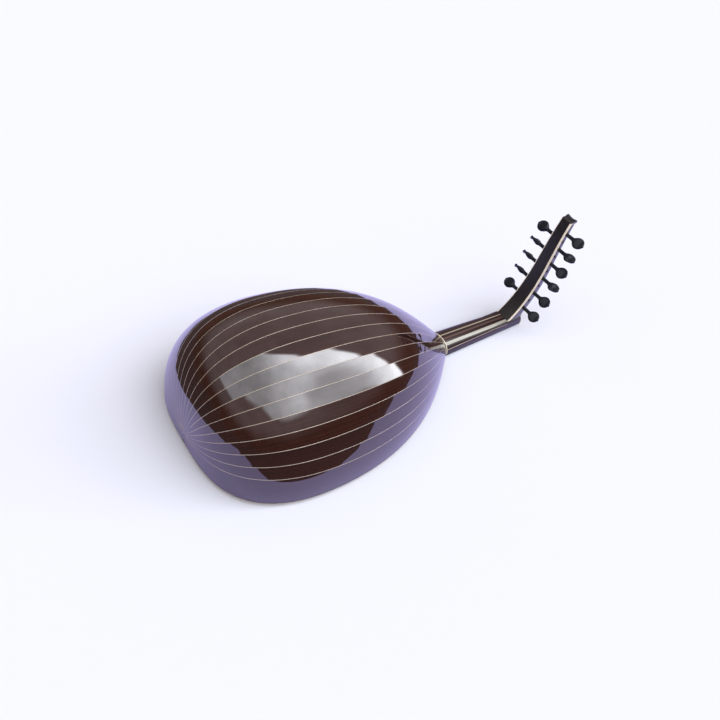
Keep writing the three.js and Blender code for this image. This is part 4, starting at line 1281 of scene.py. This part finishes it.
def dress(node, material, edge=0.0, tube_radius=0.0):
    """Gives a solid its material, softened edges or a round section, and smooth shading."""
    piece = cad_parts[node]
    for slot in piece.material_slots:
        slot.material = material
    weld = piece.modifiers.new("weld", "WELD")
    weld.merge_threshold = WELD_DISTANCE * MM
    if edge:
        chamfer(piece, edge)
    if tube_radius:
        rounding = piece.modifiers.new("round", "SUBSURF")
        rounding.levels = rounding.render_levels = TUBE_ROUNDING
        swell = piece.modifiers.new("swell", "DISPLACE")
        swell.mid_level = 0
        swell.strength = tube_radius * TUBE_SWELL * MM
    modifier = piece.modifiers.new("shading", "NODES")
    modifier.node_group = smooth_shading


dress("neck_block", inner_spruce)
dress("tail_block", inner_spruce)
dress("bridge", dark_wood, SOLID_EDGE)
dress("fingerboard", ebony, SOLID_EDGE)
dress("nut", bone, SOLID_EDGE / 2)
for number, diameter in enumerate(STRING_DIAMETERS):
    dress("string_%02d" % (number + 1), bass_metal if number < WOUND_STRINGS else nylon,
          tube_radius=diameter / 2)


# Floor, surroundings and camera

def floor():
    """The ground under the bridge and the nut: white all round for the camera, and in reflections a pale
    sheet whose darker lavender colour is painted floor shade, dark beyond it.
    """
    slope = (FLOOR_REST_Z - FLOOR_FOOT_Z) / (FLOOR_REST_X - FLOOR_FOOT_X)
    far = FLOOR_REACH
    outer = [(-far, -far), (far, -far), (far, far), (-far, far)]
    for name, loops, mirrored in (("sheet", [SHEET_OUTLINE], SHADED_SHEET_COLOUR),
                                  ("floor", [outer, SHEET_OUTLINE], BEYOND_SHEET_COLOUR)):
        flat, facing_up = filled(loops)
        corners = [(x, y, FLOOR_FOOT_Z + slope * (x - FLOOR_FOOT_X)) for x, y in flat]
        mesh = bpy.data.meshes.new(name)
        mesh.from_pydata([metres(corner) for corner in corners], [], facing_up)
        ground = bpy.data.objects.new(name, mesh)
        bpy.context.scene.collection.objects.link(ground)
        material = bpy.data.materials.new(name + "_white")
        nodes = Nodes(material)
        path = nodes.add("ShaderNodeLightPath")
        # Glossy rays see the sheet with its painted floor shade, or the dark beyond it; the camera and the
        # lighting see the floor colour
        colour = nodes.mix(path.outputs["Is Glossy Ray"], (*FLOOR_COLOUR, 1), (*mirrored, 1))
        diffuse = nodes.add("ShaderNodeBsdfDiffuse", {"Color": colour})
        nodes.add("ShaderNodeOutputMaterial", {"Surface": diffuse.outputs["BSDF"]})
        mesh.materials.append(material)


def surroundings():
    """A white backdrop for the camera, and a bright sky over the near side for all other rays."""
    world = bpy.data.worlds.new("studio")
    bpy.context.scene.world = world
    nodes = Nodes(world)
    direction = nodes.add("ShaderNodeTexCoord").outputs["Generated"]
    parts = nodes.add("ShaderNodeSeparateXYZ", {"Vector": direction})
    height = parts.outputs["Z"]
    turn = nodes.math("ARCTAN2", parts.outputs["X"], nodes.math("MULTIPLY", parts.outputs["Y"], -1.0))
    turn_share = nodes.math("ADD", nodes.math("DIVIDE", turn, 2 * math.pi), 0.5)
    skyline = nodes.ramp(turn_share, [(place, (level,) * 3) for place, level in SKYLINE])
    near = nodes.vector_math("DOT_PRODUCT", direction, NEAR_DIRECTION).outputs["Value"]
    right = nodes.vector_math("DOT_PRODUCT", direction, RIGHT_DIRECTION).outputs["Value"]
    over_skyline = nodes.math("SUBTRACT", height, skyline)
    sky = nodes.math("MULTIPLY", nodes.smooth_range(near, *NEAR_BEGINS),
                     nodes.smooth_range(over_skyline, -SKYLINE_BLUR, SKYLINE_BLUR))
    rim = nodes.math("SUBTRACT", 1.0, nodes.smooth_range(near, *SKY_RIM_ENDS))
    rim_glow = nodes.math("MULTIPLY", nodes.math("MULTIPLY", rim, nodes.smooth_range(right, *SKY_RIM_BEGINS)),
                          SKY_RIM_LEVEL)
    side_glow = nodes.math("MULTIPLY", nodes.smooth_range(right, *SKY_SIDE_BEGINS), SKY_SIDE_LEVEL)
    clouds = nodes.add("ShaderNodeTexNoise", {
        "Vector": direction, "Scale": CLOUD_SCALE, "Detail": CLOUD_DETAIL,
    })
    cloudy = nodes.math("ADD", nodes.math("MULTIPLY", clouds.outputs["Fac"], CLOUD_SHARE), CLOUD_LEAST)
    brightness = nodes.math("ADD", SKY_LEVEL, nodes.math("ADD", side_glow, rim_glow))
    ceiling = nodes.smooth_range(height, *CEILING_HEIGHTS)
    dim = nodes.mix(ceiling, (*DIM_COLOUR, 1), (*CEILING_COLOUR, 1))
    light = nodes.mix(sky, dim, (*SKY_COLOUR, 1))
    to_shade = nodes.vector_math("DOT_PRODUCT", direction, SKY_SHADE_DIRECTION).outputs["Value"]
    shade = nodes.math("MULTIPLY", nodes.smooth_range(to_shade, *SKY_SHADE_BEGINS), SKY_SHADE)
    raised = nodes.math("SUBTRACT", brightness, 1.0)
    clear = nodes.math("MULTIPLY", cloudy, nodes.math("ADD", 1.0, nodes.math("MULTIPLY", sky, raised)))
    level = nodes.math("MULTIPLY", clear, nodes.math("SUBTRACT", 1.0, shade))
    lit = nodes.add("ShaderNodeBackground", {"Color": light, "Strength": level})
    backdrop = nodes.add("ShaderNodeBackground", {"Color": (*WHITE, 1), "Strength": 1.0})
    path = nodes.add("ShaderNodeLightPath")
    shader = nodes.add("ShaderNodeMixShader", {
        0: path.outputs["Is Camera Ray"], 1: lit.outputs[0], 2: backdrop.outputs[0],
    })
    nodes.add("ShaderNodeOutputWorld", {"Surface": shader.outputs[0]})


def turned(first, second, angle):
    """Two directions turned in their own plane, the first one towards the second."""
    turn = math.radians(angle)
    return (math.cos(turn) * first + math.sin(turn) * second,
            math.cos(turn) * second - math.sin(turn) * first)


def camera():
    azimuth = math.radians(CAMERA_AZIMUTH)
    elevation = math.radians(CAMERA_ELEVATION)
    back = Vector((
        math.sin(azimuth) * math.cos(elevation),
        -math.cos(azimuth) * math.cos(elevation),
        math.sin(elevation),
    ))
    place = metres(CAMERA_TARGET) + back * CAMERA_DISTANCE * MM
    forward = -back
    right = forward.cross(Vector((0, 0, 1))).normalized()
    up = right.cross(forward)
    right, up = turned(right, up, CAMERA_ROLL)
    right, forward = turned(right, forward, CAMERA_PAN)
    up, forward = turned(up, forward, CAMERA_TILT)
    data = bpy.data.cameras.new("camera")
    data.lens = CAMERA_LENS
    data.sensor_width = CAMERA_SENSOR
    eye = bpy.data.objects.new("camera", data)
    turn = Matrix((right, up, -forward)).transposed()
    eye.matrix_world = Matrix.Translation(place) @ turn.to_4x4()
    bpy.context.scene.collection.objects.link(eye)
    bpy.context.scene.camera = eye


floor()
surroundings()
camera()
bpy.context.scene.view_settings.view_transform = "Standard"
